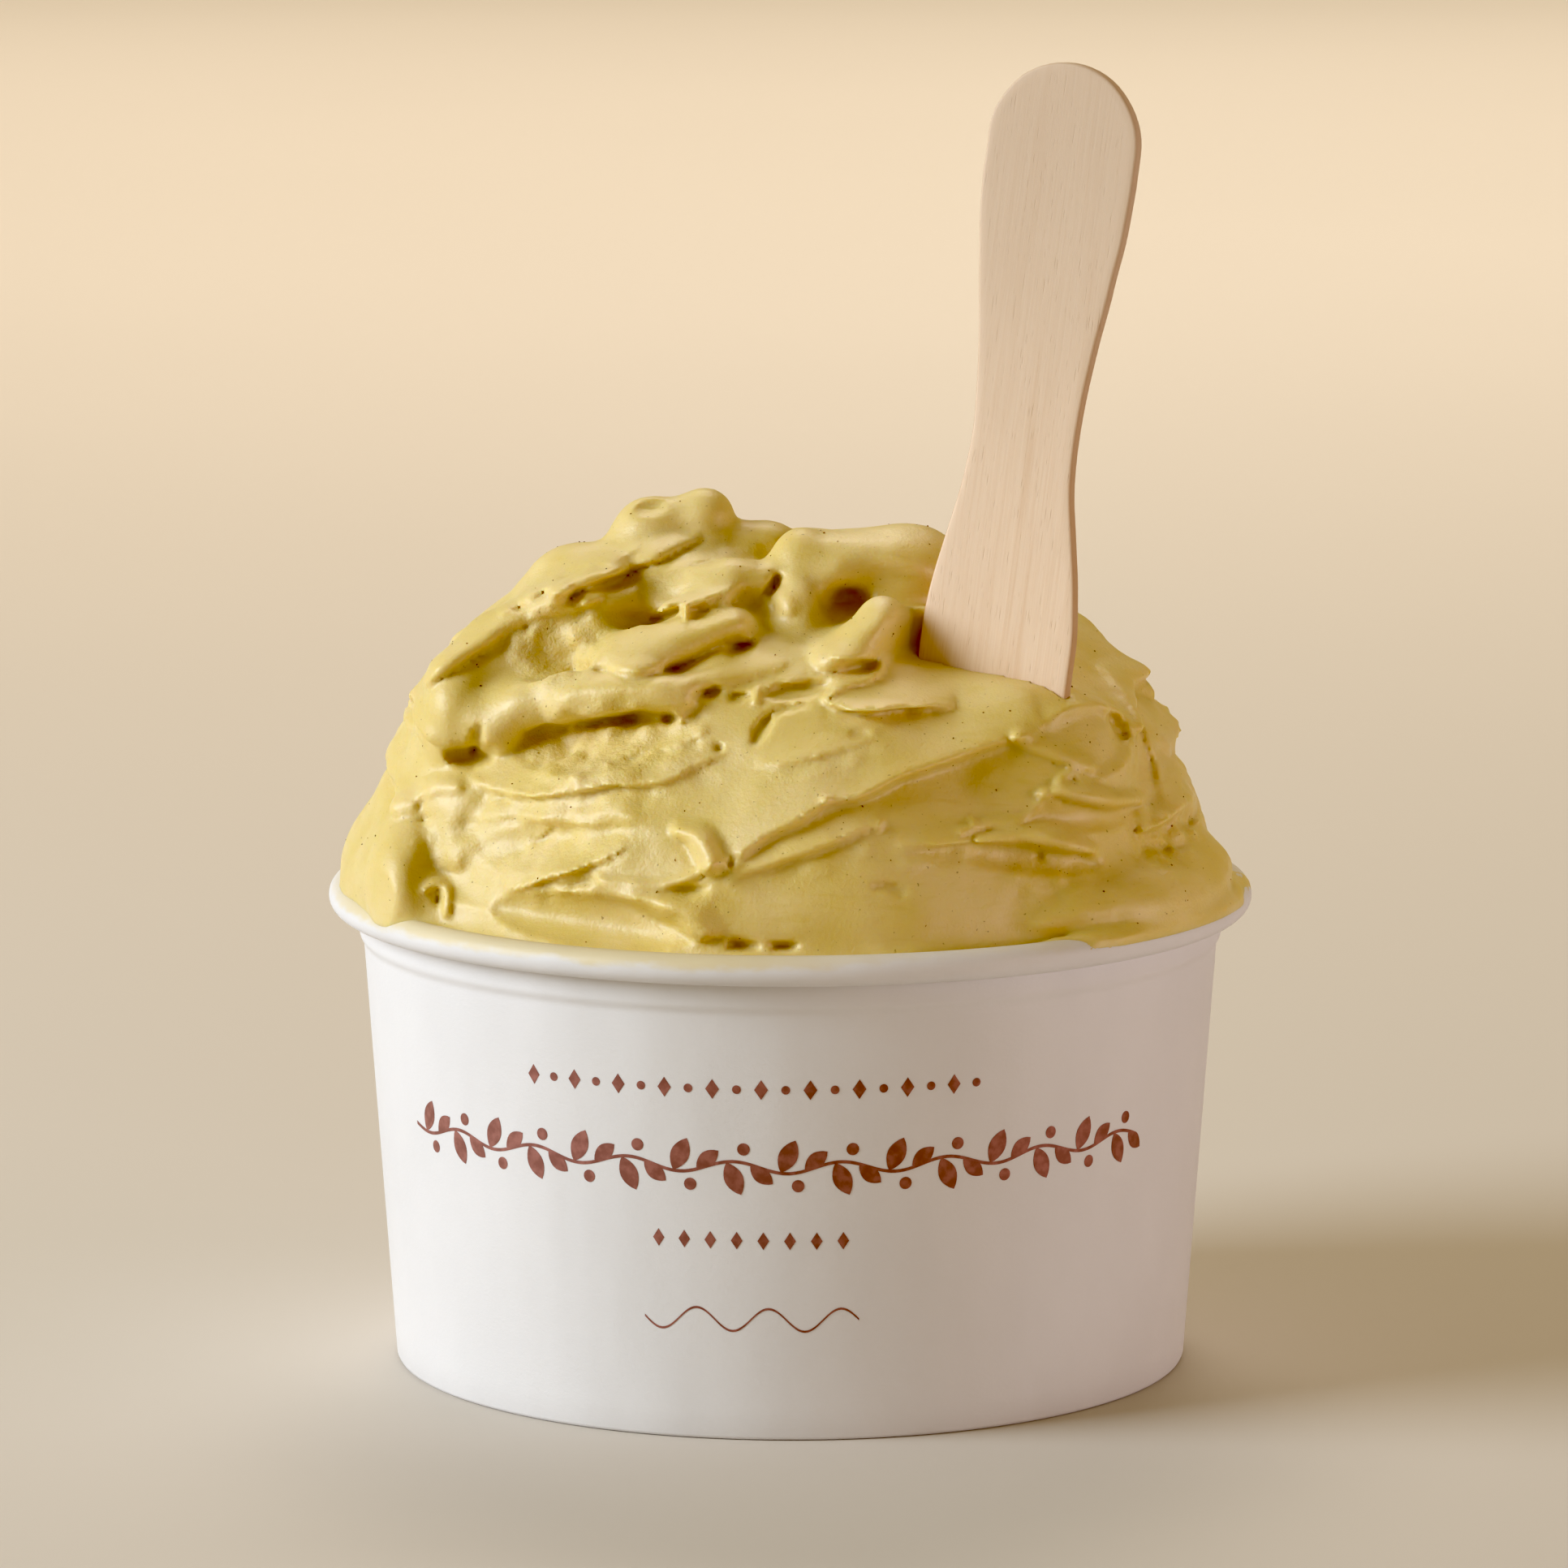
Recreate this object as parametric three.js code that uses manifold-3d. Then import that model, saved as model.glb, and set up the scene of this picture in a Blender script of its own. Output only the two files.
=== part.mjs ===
// A paper cup filled to a heap with spatula-worked pistachio gelato, with a flat wooden spoon standing in it.
// Units are millimetres, +Z up. The origin is the centre of the cup's foot, on the surface it stands on;
// +X is to the right and -Y is the front. Heights that count from the cup's rim are called "up".

import * as THREE from 'three';
import { mergeVertices } from 'three/addons/utils/BufferGeometryUtils.js';
import Module from 'manifold-3d';

const wasm = await Module();
wasm.setup();

// ---- driving dimensions ----

const CUP_HEIGHT = 47.3;
const RIM_RADIUS = 45; // outside of the rolled rim
const FOOT_RADIUS = 38.65; // outside of the wall at the foot
const ROLL_RADIUS = 1.45; // section of the rolled rim
const PAPER = 0.5; // thickness of the coated paper
const STEP_DOWN = 5.6; // below the rim the wall steps in a little
const STEP_DEPTH = 0.35;
const HEM_HEIGHT = 6; // the foot's fold, and how high the bottom sits
const GAP = 0.3; // clearance between neighbouring pieces
const CUP_SIDES = 64;

const SPOON_LENGTH = 75;
const SPOON_THICKNESS = 1.4;
const HANDLE_HALF_WIDTH = 7.65;
const NECK_HALF_WIDTH = 5.3;
const BLADE_HALF_WIDTH = 7.8;
const NECK_HEIGHT = 39; // along the spoon, from the tip of its blade
const BLADE_SHOULDER = 20; // where the blade reaches its full width
const BLADE_CORNER = 3.2; // radius of the blade's corners
const SPOON_EDGE = 0.25; // broken edge all round
const SPOON_PLACE = [17.2, -20.5, 53.6]; // centre of the blade's tip
const SPOON_TURN = 25; // degrees the flat face is turned to the left
const SPOON_LEAN = 6.6; // degrees to the right, in its own plane
const SPOON_SUNK = 16.8; // length of the blade that is in the gelato
const SPOON_TIP_BACK = 3; // degrees away from the front

const VIEW_DISTANCE = 800; // strokes are laid on the heap as it is seen from this far away
const VIEW_HEIGHT = 187;
const STROKE_STEPS = 7; // pieces that each stroke is walked in
const AROUND = 104; // columns of the gelato's surface
const DOME_ROWS = 36; // rows above the rim
const CUP_ROWS = 4; // rows inside the cup
const SHELF_UP = 0.5; // the underside of what hangs over the rim

const ROLL_CENTRE = new THREE.Vector2(RIM_RADIUS - ROLL_RADIUS, CUP_HEIGHT - ROLL_RADIUS);
const STEP_HEIGHT = CUP_HEIGHT - STEP_DOWN;
const TAPER = (RIM_RADIUS - 2 * ROLL_RADIUS + 0.3 - STEP_DEPTH - FOOT_RADIUS) / CUP_HEIGHT;
const DEGREE = Math.PI / 180;
const HEART = new THREE.Vector3(0, 0, CUP_HEIGHT + SHELF_UP); // the gelato's surface is measured from here

const SPOON_POSE = new THREE.Matrix4().makeTranslation(...SPOON_PLACE)
  .multiply(new THREE.Matrix4().makeRotationZ(-SPOON_TURN * DEGREE))
  .multiply(new THREE.Matrix4().makeRotationX(-SPOON_TIP_BACK * DEGREE))
  .multiply(new THREE.Matrix4().makeRotationY(SPOON_LEAN * DEGREE));

// ---- small helpers ----

const clamp01 = (value) => Math.min(1, Math.max(0, value));
const mix = (a, b, t) => a + (b - a) * t;
const smooth = (t) => t * t * (3 - 2 * t);

function standUp(geometry) {
  return geometry.rotateX(Math.PI / 2);
}

function weld(geometry) {
  geometry.deleteAttribute('normal');
  geometry.deleteAttribute('uv');
  return mergeVertices(geometry, 1e-4);
}

function toSolid(geometry) {
  const welded = weld(geometry.clone());
  return new wasm.Manifold(new wasm.Mesh({
    numProp: 3,
    vertProperties: new Float32Array(welded.attributes.position.array),
    triVerts: new Uint32Array(welded.index.array),
  }));
}

function toGeometry(solid) {
  const mesh = solid.getMesh();
  const geometry = new THREE.BufferGeometry();
  geometry.setAttribute('position', new THREE.BufferAttribute(new Float32Array(mesh.vertProperties), 3));
  geometry.setIndex(new THREE.BufferAttribute(new Uint32Array(mesh.triVerts), 1));
  return geometry;
}

function piece(name, geometry, colour, roughness) {
  const material = new THREE.MeshStandardMaterial({ color: colour, roughness, metalness: 0 });
  geometry.computeVertexNormals();
  const mesh = new THREE.Mesh(geometry, material);
  mesh.name = name;
  return mesh;
}

// ---- the paper cup ----

function wallRadius(height) {
  const step = STEP_DEPTH * smooth(clamp01((height - STEP_HEIGHT + 0.5) / 1));
  return FOOT_RADIUS + TAPER * height + step;
}

function cupWall() {
  const slot = PAPER + 2 * GAP; // room in the foot's fold for the bottom's skirt
  const outside = [0.4, STEP_HEIGHT - 0.6, STEP_HEIGHT + 0.6, CUP_HEIGHT - 2.9];
  const inside = [CUP_HEIGHT - 2.9, STEP_HEIGHT + 0.6, STEP_HEIGHT - 0.6, 1 + PAPER];
  const profile = outside.map((z) => new THREE.Vector2(wallRadius(z), z));
  const rollStart = -150 * DEGREE;
  const rollTurn = 345 * DEGREE;
  const rollSteps = 11;
  for (let i = 0; i <= rollSteps; i += 1) {
    const angle = rollStart + (rollTurn * i) / rollSteps;
    profile.push(new THREE.Vector2(Math.cos(angle), Math.sin(angle)).multiplyScalar(ROLL_RADIUS).add(ROLL_CENTRE));
  }
  inside.forEach((z) => profile.push(new THREE.Vector2(wallRadius(z) - PAPER, z)));
  const foldOut = FOOT_RADIUS - PAPER - slot;
  profile.push(new THREE.Vector2(foldOut, 1 + PAPER));
  profile.push(new THREE.Vector2(foldOut, HEM_HEIGHT - PAPER - GAP));
  profile.push(new THREE.Vector2(foldOut - PAPER, HEM_HEIGHT - PAPER - GAP));
  profile.push(new THREE.Vector2(foldOut - PAPER, 0.4));
  profile.push(new THREE.Vector2(foldOut - PAPER + 0.4, 0));
  profile.push(new THREE.Vector2(FOOT_RADIUS - 0.4, 0));
  profile.push(profile[0].clone());
  return weld(standUp(new THREE.LatheGeometry(profile, CUP_SIDES)));
}

function cupBottom() {
  const skirtOutside = FOOT_RADIUS - PAPER - GAP;
  const skirtInside = skirtOutside - PAPER;
  const skirtFoot = 1 + PAPER + GAP;
  const top = HEM_HEIGHT + PAPER;
  const profile = [
    [0, HEM_HEIGHT], [skirtInside, HEM_HEIGHT], [skirtInside, skirtFoot],
    [skirtOutside, skirtFoot], [skirtOutside, top], [0, top],
  ].map(([radius, z]) => new THREE.Vector2(radius, z));
  return weld(standUp(new THREE.LatheGeometry(profile, CUP_SIDES)));
}

// ---- the wooden spoon: a flat paddle, outline first, then its thickness ----

function spoonHalfWidth(along) {
  if (along > NECK_HEIGHT) {
    const shoulder = SPOON_LENGTH - HANDLE_HALF_WIDTH;
    const t = clamp01((along - NECK_HEIGHT) / (shoulder - 3 - NECK_HEIGHT));
    return mix(NECK_HALF_WIDTH, HANDLE_HALF_WIDTH, Math.pow(smooth(t), 1.1));
  }
  return mix(BLADE_HALF_WIDTH, NECK_HALF_WIDTH, smooth(clamp01((along - BLADE_SHOULDER) / (NECK_HEIGHT - BLADE_SHOULDER))));
}

function spoonOutline(grow) {
  const right = [];
  const corner = BLADE_CORNER;
  for (let i = 0; i <= 4; i += 1) {
    const angle = (-90 + 22.5 * i) * DEGREE;
    right.push([BLADE_HALF_WIDTH - corner + (corner + grow) * Math.cos(angle), corner + (corner + grow) * Math.sin(angle)]);
  }
  const sideStart = corner + 4;
  const sideEnd = SPOON_LENGTH - HANDLE_HALF_WIDTH;
  const sideSteps = 16;
  for (let i = 0; i < sideSteps; i += 1) {
    const along = mix(sideStart, sideEnd, i / sideSteps);
    right.push([spoonHalfWidth(along) + grow, along]);
  }
  for (let i = 0; i < 6; i += 1) {
    const angle = 15 * i * DEGREE;
    const reach = HANDLE_HALF_WIDTH + grow;
    right.push([reach * Math.cos(angle), sideEnd + reach * Math.sin(angle)]);
  }
  const top = [[0, SPOON_LENGTH + grow]];
  const left = right.slice().reverse().map(([across, along]) => [-across, along]);
  return right.concat(top, left).map(([across, along]) => new THREE.Vector2(across, along));
}

function spoonShape(grow) {
  const thickness = SPOON_THICKNESS + 2 * grow;
  const geometry = new THREE.ExtrudeGeometry(new THREE.Shape(spoonOutline(grow - SPOON_EDGE)), {
    depth: thickness - 2 * SPOON_EDGE,
    bevelThickness: SPOON_EDGE,
    bevelSize: SPOON_EDGE,
    bevelSegments: 1,
    steps: 1,
  });
  geometry.translate(0, 0, SPOON_EDGE - thickness / 2);
  return weld(standUp(geometry).applyMatrix4(SPOON_POSE));
}

// ---- the gelato's form, as a distance field: lumps and rolls melt together, strokes raise and cut it ----

// Lumps: centre (x, y, up) and half sizes.
const LUMPS = [
  [0, 0.5, -2, 41.2, 40.8, 32.5], // the heap
  [20, 1, 13, 14, 21, 12], // right shoulder
  [21.5, -20.5, 10.8, 10.5, 10, 12.6], // the fold in front of the blade
  [-19, -1, 18, 11.5, 15, 11], // left shoulder
  [-19.5, -3, 26, 5.8, 6.5, 6.4], // the top of the left shoulder
  [-31.5, -8, 14, 4.2, 9, 6.5], // lobe at the left edge
  [-9, -1, 27, 8.4, 9, 7.2], // under the peak
  [7.5, -1, 24.6, 11.5, 11, 8], // top lobe on the right
  [0, 14, 20, 20, 16, 11.5], // the heap's back
  [-37, -11, 1.5, 4.6, 14, 8], // low left bulge
];
const LUMP_MELT = 4;

function smoothUnion(a, b, melt) {
  const h = Math.max(melt - Math.abs(a - b), 0) / melt;
  return Math.min(a, b) - h * h * melt * 0.25;
}

function lumpDistance(point, [x, y, up, rx, ry, rz]) {
  const dx = point.x - x;
  const dy = point.y - y;
  const dz = point.z - CUP_HEIGHT - up;
  const scaled = Math.hypot(dx / rx, dy / ry, dz / rz);
  const slope = Math.hypot(dx / (rx * rx), dy / (ry * ry), dz / (rz * rz));
  return slope < 1e-9 ? -Math.min(rx, ry, rz) : (scaled * (scaled - 1)) / slope;
}

function heapDistance(point) {
  return LUMPS.reduce((nearest, lump) => smoothUnion(nearest, lumpDistance(point, lump), LUMP_MELT), 1e3);
}

function gradient(field, point, step = 0.2) {
  const probe = new THREE.Vector3();
  const slope = ['x', 'y', 'z'].map((axis) => {
    probe.copy(point)[axis] += step;
    const ahead = field(probe);
    probe[axis] -= 2 * step;
    return ahead - field(probe);
  });
  return new THREE.Vector3(...slope).normalize();
}

// How far from "start" the field's surface is met, or, where it is missed, where it comes nearest.
function march(field, start, direction, reach) {
  let travelled = 0;
  let nearest = { distance: 1e3, travelled: 0 };
  const probe = new THREE.Vector3();
  while (travelled < reach) {
    const distance = field(probe.copy(start).addScaledVector(direction, travelled));
    if (distance < nearest.distance) {
      nearest = { distance, travelled };
    }
    if (distance < 0.01) {
      break;
    }
    travelled += Math.max(0.02, distance * 0.6);
  }
  return nearest.travelled;
}

// The point of the heap that is seen at "across" and "up" by someone who looks from the side "turn"
// (0 is the front, 90 the right, 180 the back), measured on the upright plane through the cup's axis.
function seenPoint(across, up, turn) {
  const axis = new THREE.Vector3(0, 0, 1);
  const eye = new THREE.Vector3(0, -VIEW_DISTANCE, VIEW_HEIGHT).applyAxisAngle(axis, turn * DEGREE);
  const target = new THREE.Vector3(across, 0, CUP_HEIGHT + up).applyAxisAngle(axis, turn * DEGREE);
  const direction = target.clone().sub(eye).normalize();
  const near = eye.addScaledVector(direction, VIEW_DISTANCE * 0.9);
  return near.addScaledVector(direction, march(heapDistance, near, direction, VIEW_DISTANCE * 0.2));
}

// A stroke runs from one seen point to another. "bow" swings its middle to the left of its way.
function walk({ from, to, bow = 0, turn = 0 }) {
  const dx = to[0] - from[0];
  const dy = to[1] - from[1];
  const length = Math.hypot(dx, dy);
  const points = [];
  for (let i = 0; i <= STROKE_STEPS; i += 1) {
    const t = i / STROKE_STEPS;
    const swing = 4 * t * (1 - t) * bow;
    const across = from[0] + dx * t - (dy / length) * swing;
    const up = from[1] + dy * t + (dx / length) * swing;
    const place = seenPoint(across, up, turn);
    points.push({ place, normal: gradient(heapDistance, place), t });
  }
  return points;
}

function boundsOf(points, margin) {
  return new THREE.Box3().setFromPoints(points.map((p) => p.place)).expandByScalar(margin);
}

const offset = new THREE.Vector3();

// A bead of gelato: its radius goes from "start" to "end", and "lift" moves it out of the heap.
function roll({ start, end, lift = 0, melt = 1.6, ...path }) {
  const points = walk(path);
  points.forEach((p) => p.place.addScaledVector(p.normal, lift));
  const box = boundsOf(points, Math.max(start, end) + 8);
  const spans = points.slice(1).map((b, i) => ({ a: points[i], b, span: b.place.clone().sub(points[i].place) }));
  const distance = (point) => {
    if (!box.containsPoint(point)) {
      return 8;
    }
    return spans.reduce((nearest, { a, b, span }) => {
      const t = clamp01(offset.copy(point).sub(a.place).dot(span) / span.lengthSq());
      offset.addScaledVector(span, -t);
      return Math.min(nearest, offset.length() - mix(start, end, mix(a.t, b.t, t)));
    }, 1e3);
  };
  return { distance, melt };
}

// A ledge: the surface rises over "width" to a crest on the stroke's left, and drops at once on its right.
function ledge({ rise, width, drop = 2, ...path }) {
  const points = walk(path);
  const box = boundsOf(points, width + 2);
  const spans = points.slice(1).map((b, i) => {
    const span = b.place.clone().sub(points[i].place);
    return { a: points[i], b, span, left: points[i].normal.clone().cross(span).normalize() };
  });
  return (point) => {
    if (!box.containsPoint(point)) {
      return 0;
    }
    let best = 1e3;
    let height = 0;
    spans.forEach(({ a, b, span, left }) => {
      const t = clamp01(offset.copy(point).sub(a.place).dot(span) / span.lengthSq());
      offset.addScaledVector(span, -t);
      const away = offset.length();
      if (away < best) {
        best = away;
        const along = mix(a.t, b.t, t);
        const side = offset.dot(left);
        const profile = side > 0 ? 1 - clamp01(side / width) : 1 - smooth(clamp01(-side / drop));
        height = rise * profile * profile * Math.sqrt(Math.max(0, 4 * along * (1 - along)));
      }
    });
    return height;
  };
}

// A hollow: an ellipsoid cut out of the surface, long along "tilt" (degrees as seen) and "depth" deep.
function hollow({ at, length, width, depth, tilt = 0, turn = 0, sink = 0 }) {
  const place = seenPoint(...at, turn);
  const normal = gradient(heapDistance, place);
  const sideways = new THREE.Vector3(Math.cos(tilt * DEGREE), 0, Math.sin(tilt * DEGREE));
  sideways.applyAxisAngle(new THREE.Vector3(0, 0, 1), turn * DEGREE);
  const along = sideways.addScaledVector(normal, -sideways.dot(normal)).normalize();
  const across = normal.clone().cross(along);
  place.addScaledVector(normal, -sink);
  return (point) => {
    offset.copy(point).sub(place);
    const scaled = Math.hypot(offset.dot(along) / (length / 2), offset.dot(across) / (width / 2), offset.dot(normal) / depth);
    return (scaled - 1) * Math.min(length / 2, width / 2, depth);
  };
}

// Beads and rolls, the front ones first.
const ROLLS = [
  { from: [-13.6, 34.4], to: [-7, 36], start: 3.2, end: 2.5, lift: 0.6 }, // the peak
  { from: [-6, 33.4], to: [-1, 30], bow: 1, start: 2.4, end: 2.6, lift: -0.8 },
  { from: [-7, 31], to: [-24, 26.2], bow: -1.2, start: 2.8, end: 2, lift: 0.2 }, // down to the left of it
  { from: [-23.4, 27.4], to: [-34, 18], bow: 0.4, start: 1.8, end: 2.6, lift: 0.3 },
  { from: [-17.5, 21.8], to: [-4.6, 24.6], bow: -0.6, start: 2.3, end: 2.4, lift: 0.6 }, // the big roll
  { from: [-28.8, 15.4], to: [-15, 18.4], bow: -0.6, start: 3.1, end: 2.2, lift: 0.5 }, // the one under it
  { from: [-15, 18.4], to: [-2, 19], bow: 0.8, start: 2, end: 1.4, lift: 0 },
  { from: [1.8, 25], to: [1.8, 31], bow: 0.5, start: 2.4, end: 2.8, lift: -0.6 }, // top lobe and its hood
  { from: [2.5, 30.6], to: [14, 30.2], bow: 0.8, start: 2.6, end: 2.8, lift: -0.1 },
  { from: [8.9, 26.6], to: [15, 25.6], bow: 0.3, start: 2.3, end: 1.7, lift: 0.8 }, // nose
  { from: [4.2, 22.6], to: [14.5, 23.4], bow: 0.8, start: 1.7, end: 1.8, lift: 0.5 },
  { from: [24.9, 8], to: [34, 7.2], bow: 0.3, start: 1.1, end: 1.3, lift: 0.6 }, // finger
  { from: [-10.6, 4.4], to: [-6.8, 0.4], bow: 0.8, start: 1.2, end: 1.7, lift: 0.4 }, // tongue
  { from: [-34.6, 8.4], to: [-32, 3], bow: 0.6, start: 2.4, end: 1.6, lift: -0.4 },
  { turn: 180, from: [-30, 16], to: [4, 26], bow: 3, start: 3, end: 2.4, lift: 0.2 }, // the back
  { turn: 180, from: [30, 11], to: [-8, 15.5], bow: -3, start: 2.8, end: 2.2, lift: 0.2 },
  { turn: 180, from: [-12, 29.5], to: [9, 31.5], bow: 2, start: 2.6, end: 2.2, lift: 0.2 },
  { turn: 180, from: [22, 23.5], to: [6, 29], bow: -1.5, start: 2.4, end: 1.8, lift: 0.2 },
  { turn: 90, from: [-2, 14], to: [26, 19], bow: 2.6, start: 2, end: 2.4, lift: -0.6 }, // the right side
  { turn: 90, from: [20, 4], to: [-10, 9], bow: -2, start: 2, end: 1.8, lift: -0.4 },
  { turn: 270, from: [-24, 13], to: [4, 20], bow: 2.4, start: 2.4, end: 2, lift: -0.2 }, // the left side
  { turn: 270, from: [18, 4.5], to: [-20, 8], bow: -2, start: 2.2, end: 1.8, lift: 0 },
].map(roll);

// What has run out over the rim: beads round part of its circle. "middle" and "spread" are bearings, 0 at +X.
const SPILLS = [
  { middle: -28, spread: 40, up: 1.2, radius: 41.4, size: 3.2 },
  { middle: 188, spread: 34, up: 1.6, radius: 40.6, size: 2.3 },
];

function offMiddle(bearing, spill) {
  return ((bearing - spill.middle + 540) % 360) - 180;
}

function spillDistance(point, spill) {
  const off = offMiddle(Math.atan2(point.y, point.x) / DEGREE, spill);
  const nearest = (spill.middle + Math.min(spill.spread, Math.max(-spill.spread, off))) * DEGREE;
  const dx = point.x - spill.radius * Math.cos(nearest);
  const dy = point.y - spill.radius * Math.sin(nearest);
  return Math.hypot(dx, dy, point.z - CUP_HEIGHT - spill.up) - spill.size;
}

// The notch that the blade has cut, in the spoon's own axes: open above and in front of the blade.
const NOTCH = { centre: new THREE.Vector3(0, -9, SPOON_SUNK + 11), half: new THREE.Vector3(7.4, 8.2, 9.6), round: 1.4 };
const SPOON_POSE_BACK = SPOON_POSE.clone().invert();

function notchDistance(point) {
  const local = point.clone().applyMatrix4(SPOON_POSE_BACK).sub(NOTCH.centre);
  const out = [Math.abs(local.x) - NOTCH.half.x, Math.abs(local.y) - NOTCH.half.y, Math.abs(local.z) - NOTCH.half.z];
  const outside = Math.hypot(...out.map((value) => Math.max(value, 0)));
  return outside + Math.min(Math.max(...out), 0) - NOTCH.round;
}

// Spatula ledges: the crest lies on the left of each stroke.
const LEDGES = [
  { from: [-6, -1], to: [24.4, 14.6], bow: 2.2, rise: 2, width: 7 }, // the long ridge
  { from: [24.2, 14.4], to: [32, 9.8], bow: 5.4, rise: 1.9, width: 4 }, // its ring
  { from: [-7.4, -1.4], to: [8.8, 5.4], bow: 1.4, rise: 1.2, width: 4 },
  { from: [-31.6, 11], to: [-5, 13.2], bow: -3, rise: 1.2, width: 4 },
  { from: [-26.6, -1.4], to: [-16, 2.6], bow: 0, rise: 1.1, width: 4 },
  { from: [-20, -0.6], to: [-7.6, -5.4], bow: 0.8, rise: 1.8, width: 5 },
  { from: [9.8, 2.4], to: [29.6, 2.2], bow: 1.6, rise: 1.6, width: 3.4 },
  { from: [3.8, 17.6], to: [16.8, 16.8], bow: -0.8, rise: 1.4, width: 3.4 },
  { from: [34, 4.4], to: [40, 9.6], bow: 0, rise: 1.3, width: 4 },
  { turn: 180, from: [-34, 4], to: [22, 12], bow: 5, rise: 2, width: 8 },
  { turn: 180, from: [-20, -2], to: [30, 3], bow: 4, rise: 1.6, width: 6 },
  { turn: 180, from: [-24, 20], to: [20, 17], bow: 4, rise: 1.6, width: 6 },
  { turn: 90, from: [-16, 2], to: [30, 12], bow: 4, rise: 1.6, width: 6 },
  { turn: 270, from: [-30, 1], to: [18, 10], bow: 4, rise: 1.6, width: 6 },
].map(ledge);

const HOLLOWS = [
  { at: [-31.6, 12.4], length: 7, width: 3.6, depth: 4.6, tilt: 35 }, // the deep one at the left
  { at: [-5, 22.6], length: 3.6, width: 2, depth: 3 }, // under the big roll's end
  { at: [-2.8, 27.6], length: 5.5, width: 1.5, depth: 2.6, tilt: 48 },
  { at: [6.8, 26.8], length: 5, width: 3, depth: 3.6, tilt: -12 }, // under the hood
  { at: [6.4, 20.4], length: 5, width: 2, depth: 3, tilt: 15 },
  { at: [0.8, 17.9], length: 6.6, width: 1.8, depth: 2.8, tilt: 6 },
  { at: [-8.4, 18], length: 3.4, width: 1.6, depth: 2.6, tilt: 15 },
  { at: [-17.5, 14.4], length: 13, width: 1.3, depth: 2.4, tilt: 8 }, // slit
  { at: [-12.4, 25], length: 4.2, width: 1.5, depth: 1.6, tilt: 14 },
  { at: [28.4, 13.4], length: 7.4, width: 5, depth: 1.8, tilt: -14 }, // dish inside the ring
  { at: [-25, 22], length: 10, width: 5, depth: 1.4, tilt: 14 }, // rough patch
  { at: [-18, -4.4], length: 15, width: 4, depth: 1.6, tilt: -12 },
  { turn: 180, at: [-8, 21], length: 8, width: 2.4, depth: 3, tilt: 14 },
  { turn: 180, at: [14, 14], length: 9, width: 2, depth: 2.6, tilt: -10 },
  { turn: 90, at: [6, 10], length: 8, width: 2, depth: 2.4, tilt: 12 },
  { turn: 270, at: [-6, 14], length: 8, width: 2, depth: 2.4, tilt: 12 },
].map(hollow);

function gelatoDistance(point) {
  const heap = SPILLS.reduce((nearest, spill) => smoothUnion(nearest, spillDistance(point, spill), 2), heapDistance(point));
  const mass = ROLLS.reduce((nearest, bead) => smoothUnion(nearest, bead.distance(point), bead.melt), heap);
  const raised = LEDGES.reduce((distance, rise) => distance - rise(point), mass);
  const carved = HOLLOWS.reduce((distance, cut) => -smoothUnion(-distance, cut(point), 0.8), raised);
  return -smoothUnion(-carved, notchDistance(point), 0.8);
}

// How far the gelato may reach at the rim: it hangs over the roll only where it has run over.
const SPILL_FADE = 8;

function rimReach(bearing) {
  const inside = wallRadius(CUP_HEIGHT) - PAPER - GAP;
  return SPILLS.reduce((reach, spill) => {
    const left = spill.spread - Math.abs(offMiddle(bearing, spill));
    return Math.max(reach, mix(inside, spill.radius + spill.size, smooth(clamp01(left / SPILL_FADE))));
  }, inside);
}

function surfacePoint(bearing, slope) {
  const direction = new THREE.Vector3(Math.cos(bearing) * Math.cos(slope), Math.sin(bearing) * Math.cos(slope), Math.sin(slope));
  const start = HEART.clone().addScaledVector(direction, 2 * RIM_RADIUS);
  return 2 * RIM_RADIUS - march(gelatoDistance, start, direction.negate(), 2 * RIM_RADIUS);
}

// Each reach becomes the weighted mean of itself and its neighbours, so that narrow relief doesn't turn to teeth.
function soften(reaches) {
  const weight = [1, 2, 1];
  return reaches.map((ring, row) => ring.map((_, column) => {
    let sum = 0;
    let total = 0;
    weight.forEach((down, i) => weight.forEach((side, j) => {
      const neighbours = reaches[Math.min(row + i, DOME_ROWS + 1) - 1] ?? ring;
      sum += down * side * neighbours[(column + j - 1 + AROUND) % AROUND];
      total += down * side;
    }));
    return sum / total;
  }));
}

function gelatoSurface() {
  const rows = DOME_ROWS + CUP_ROWS;
  const floor = HEM_HEIGHT + PAPER + GAP;
  const slopeOf = (row) => (1 - row / DOME_ROWS) * 90 * DEGREE;
  const bearingOf = (column) => (360 * DEGREE * column) / AROUND - Math.PI;
  const reaches = soften(Array.from({ length: DOME_ROWS + 1 }, (_, row) => (
    Array.from({ length: AROUND }, (__, column) => surfacePoint(bearingOf(column), slopeOf(row))))));
  const geometry = standUp(new THREE.SphereGeometry(1, AROUND, rows));
  const position = geometry.attributes.position;
  for (let i = 0; i < position.count; i += 1) {
    const column = i % (AROUND + 1) % AROUND;
    const row = Math.floor(i / (AROUND + 1));
    const rimLimit = rimReach(bearingOf(column) / DEGREE);
    let radius = 0;
    let height = floor;
    if (row <= DOME_ROWS) {
      const reach = row === 0 ? reaches[0][0] : reaches[row][column];
      height = HEART.z + reach * Math.sin(slopeOf(row));
      radius = Math.min(reach * Math.cos(slopeOf(row)), rimLimit + 1.5 * (height - HEART.z), RIM_RADIUS - 0.1);
    } else if (row < rows) {
      height = mix(CUP_HEIGHT + GAP, floor, (row - DOME_ROWS - 1) / (CUP_ROWS - 2));
      radius = Math.min(wallRadius(height) - PAPER - GAP, reaches[DOME_ROWS][column]);
    }
    position.setXYZ(i, radius * Math.cos(bearingOf(column)), radius * Math.sin(bearingOf(column)), height);
  }
  return weld(geometry);
}

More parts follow.
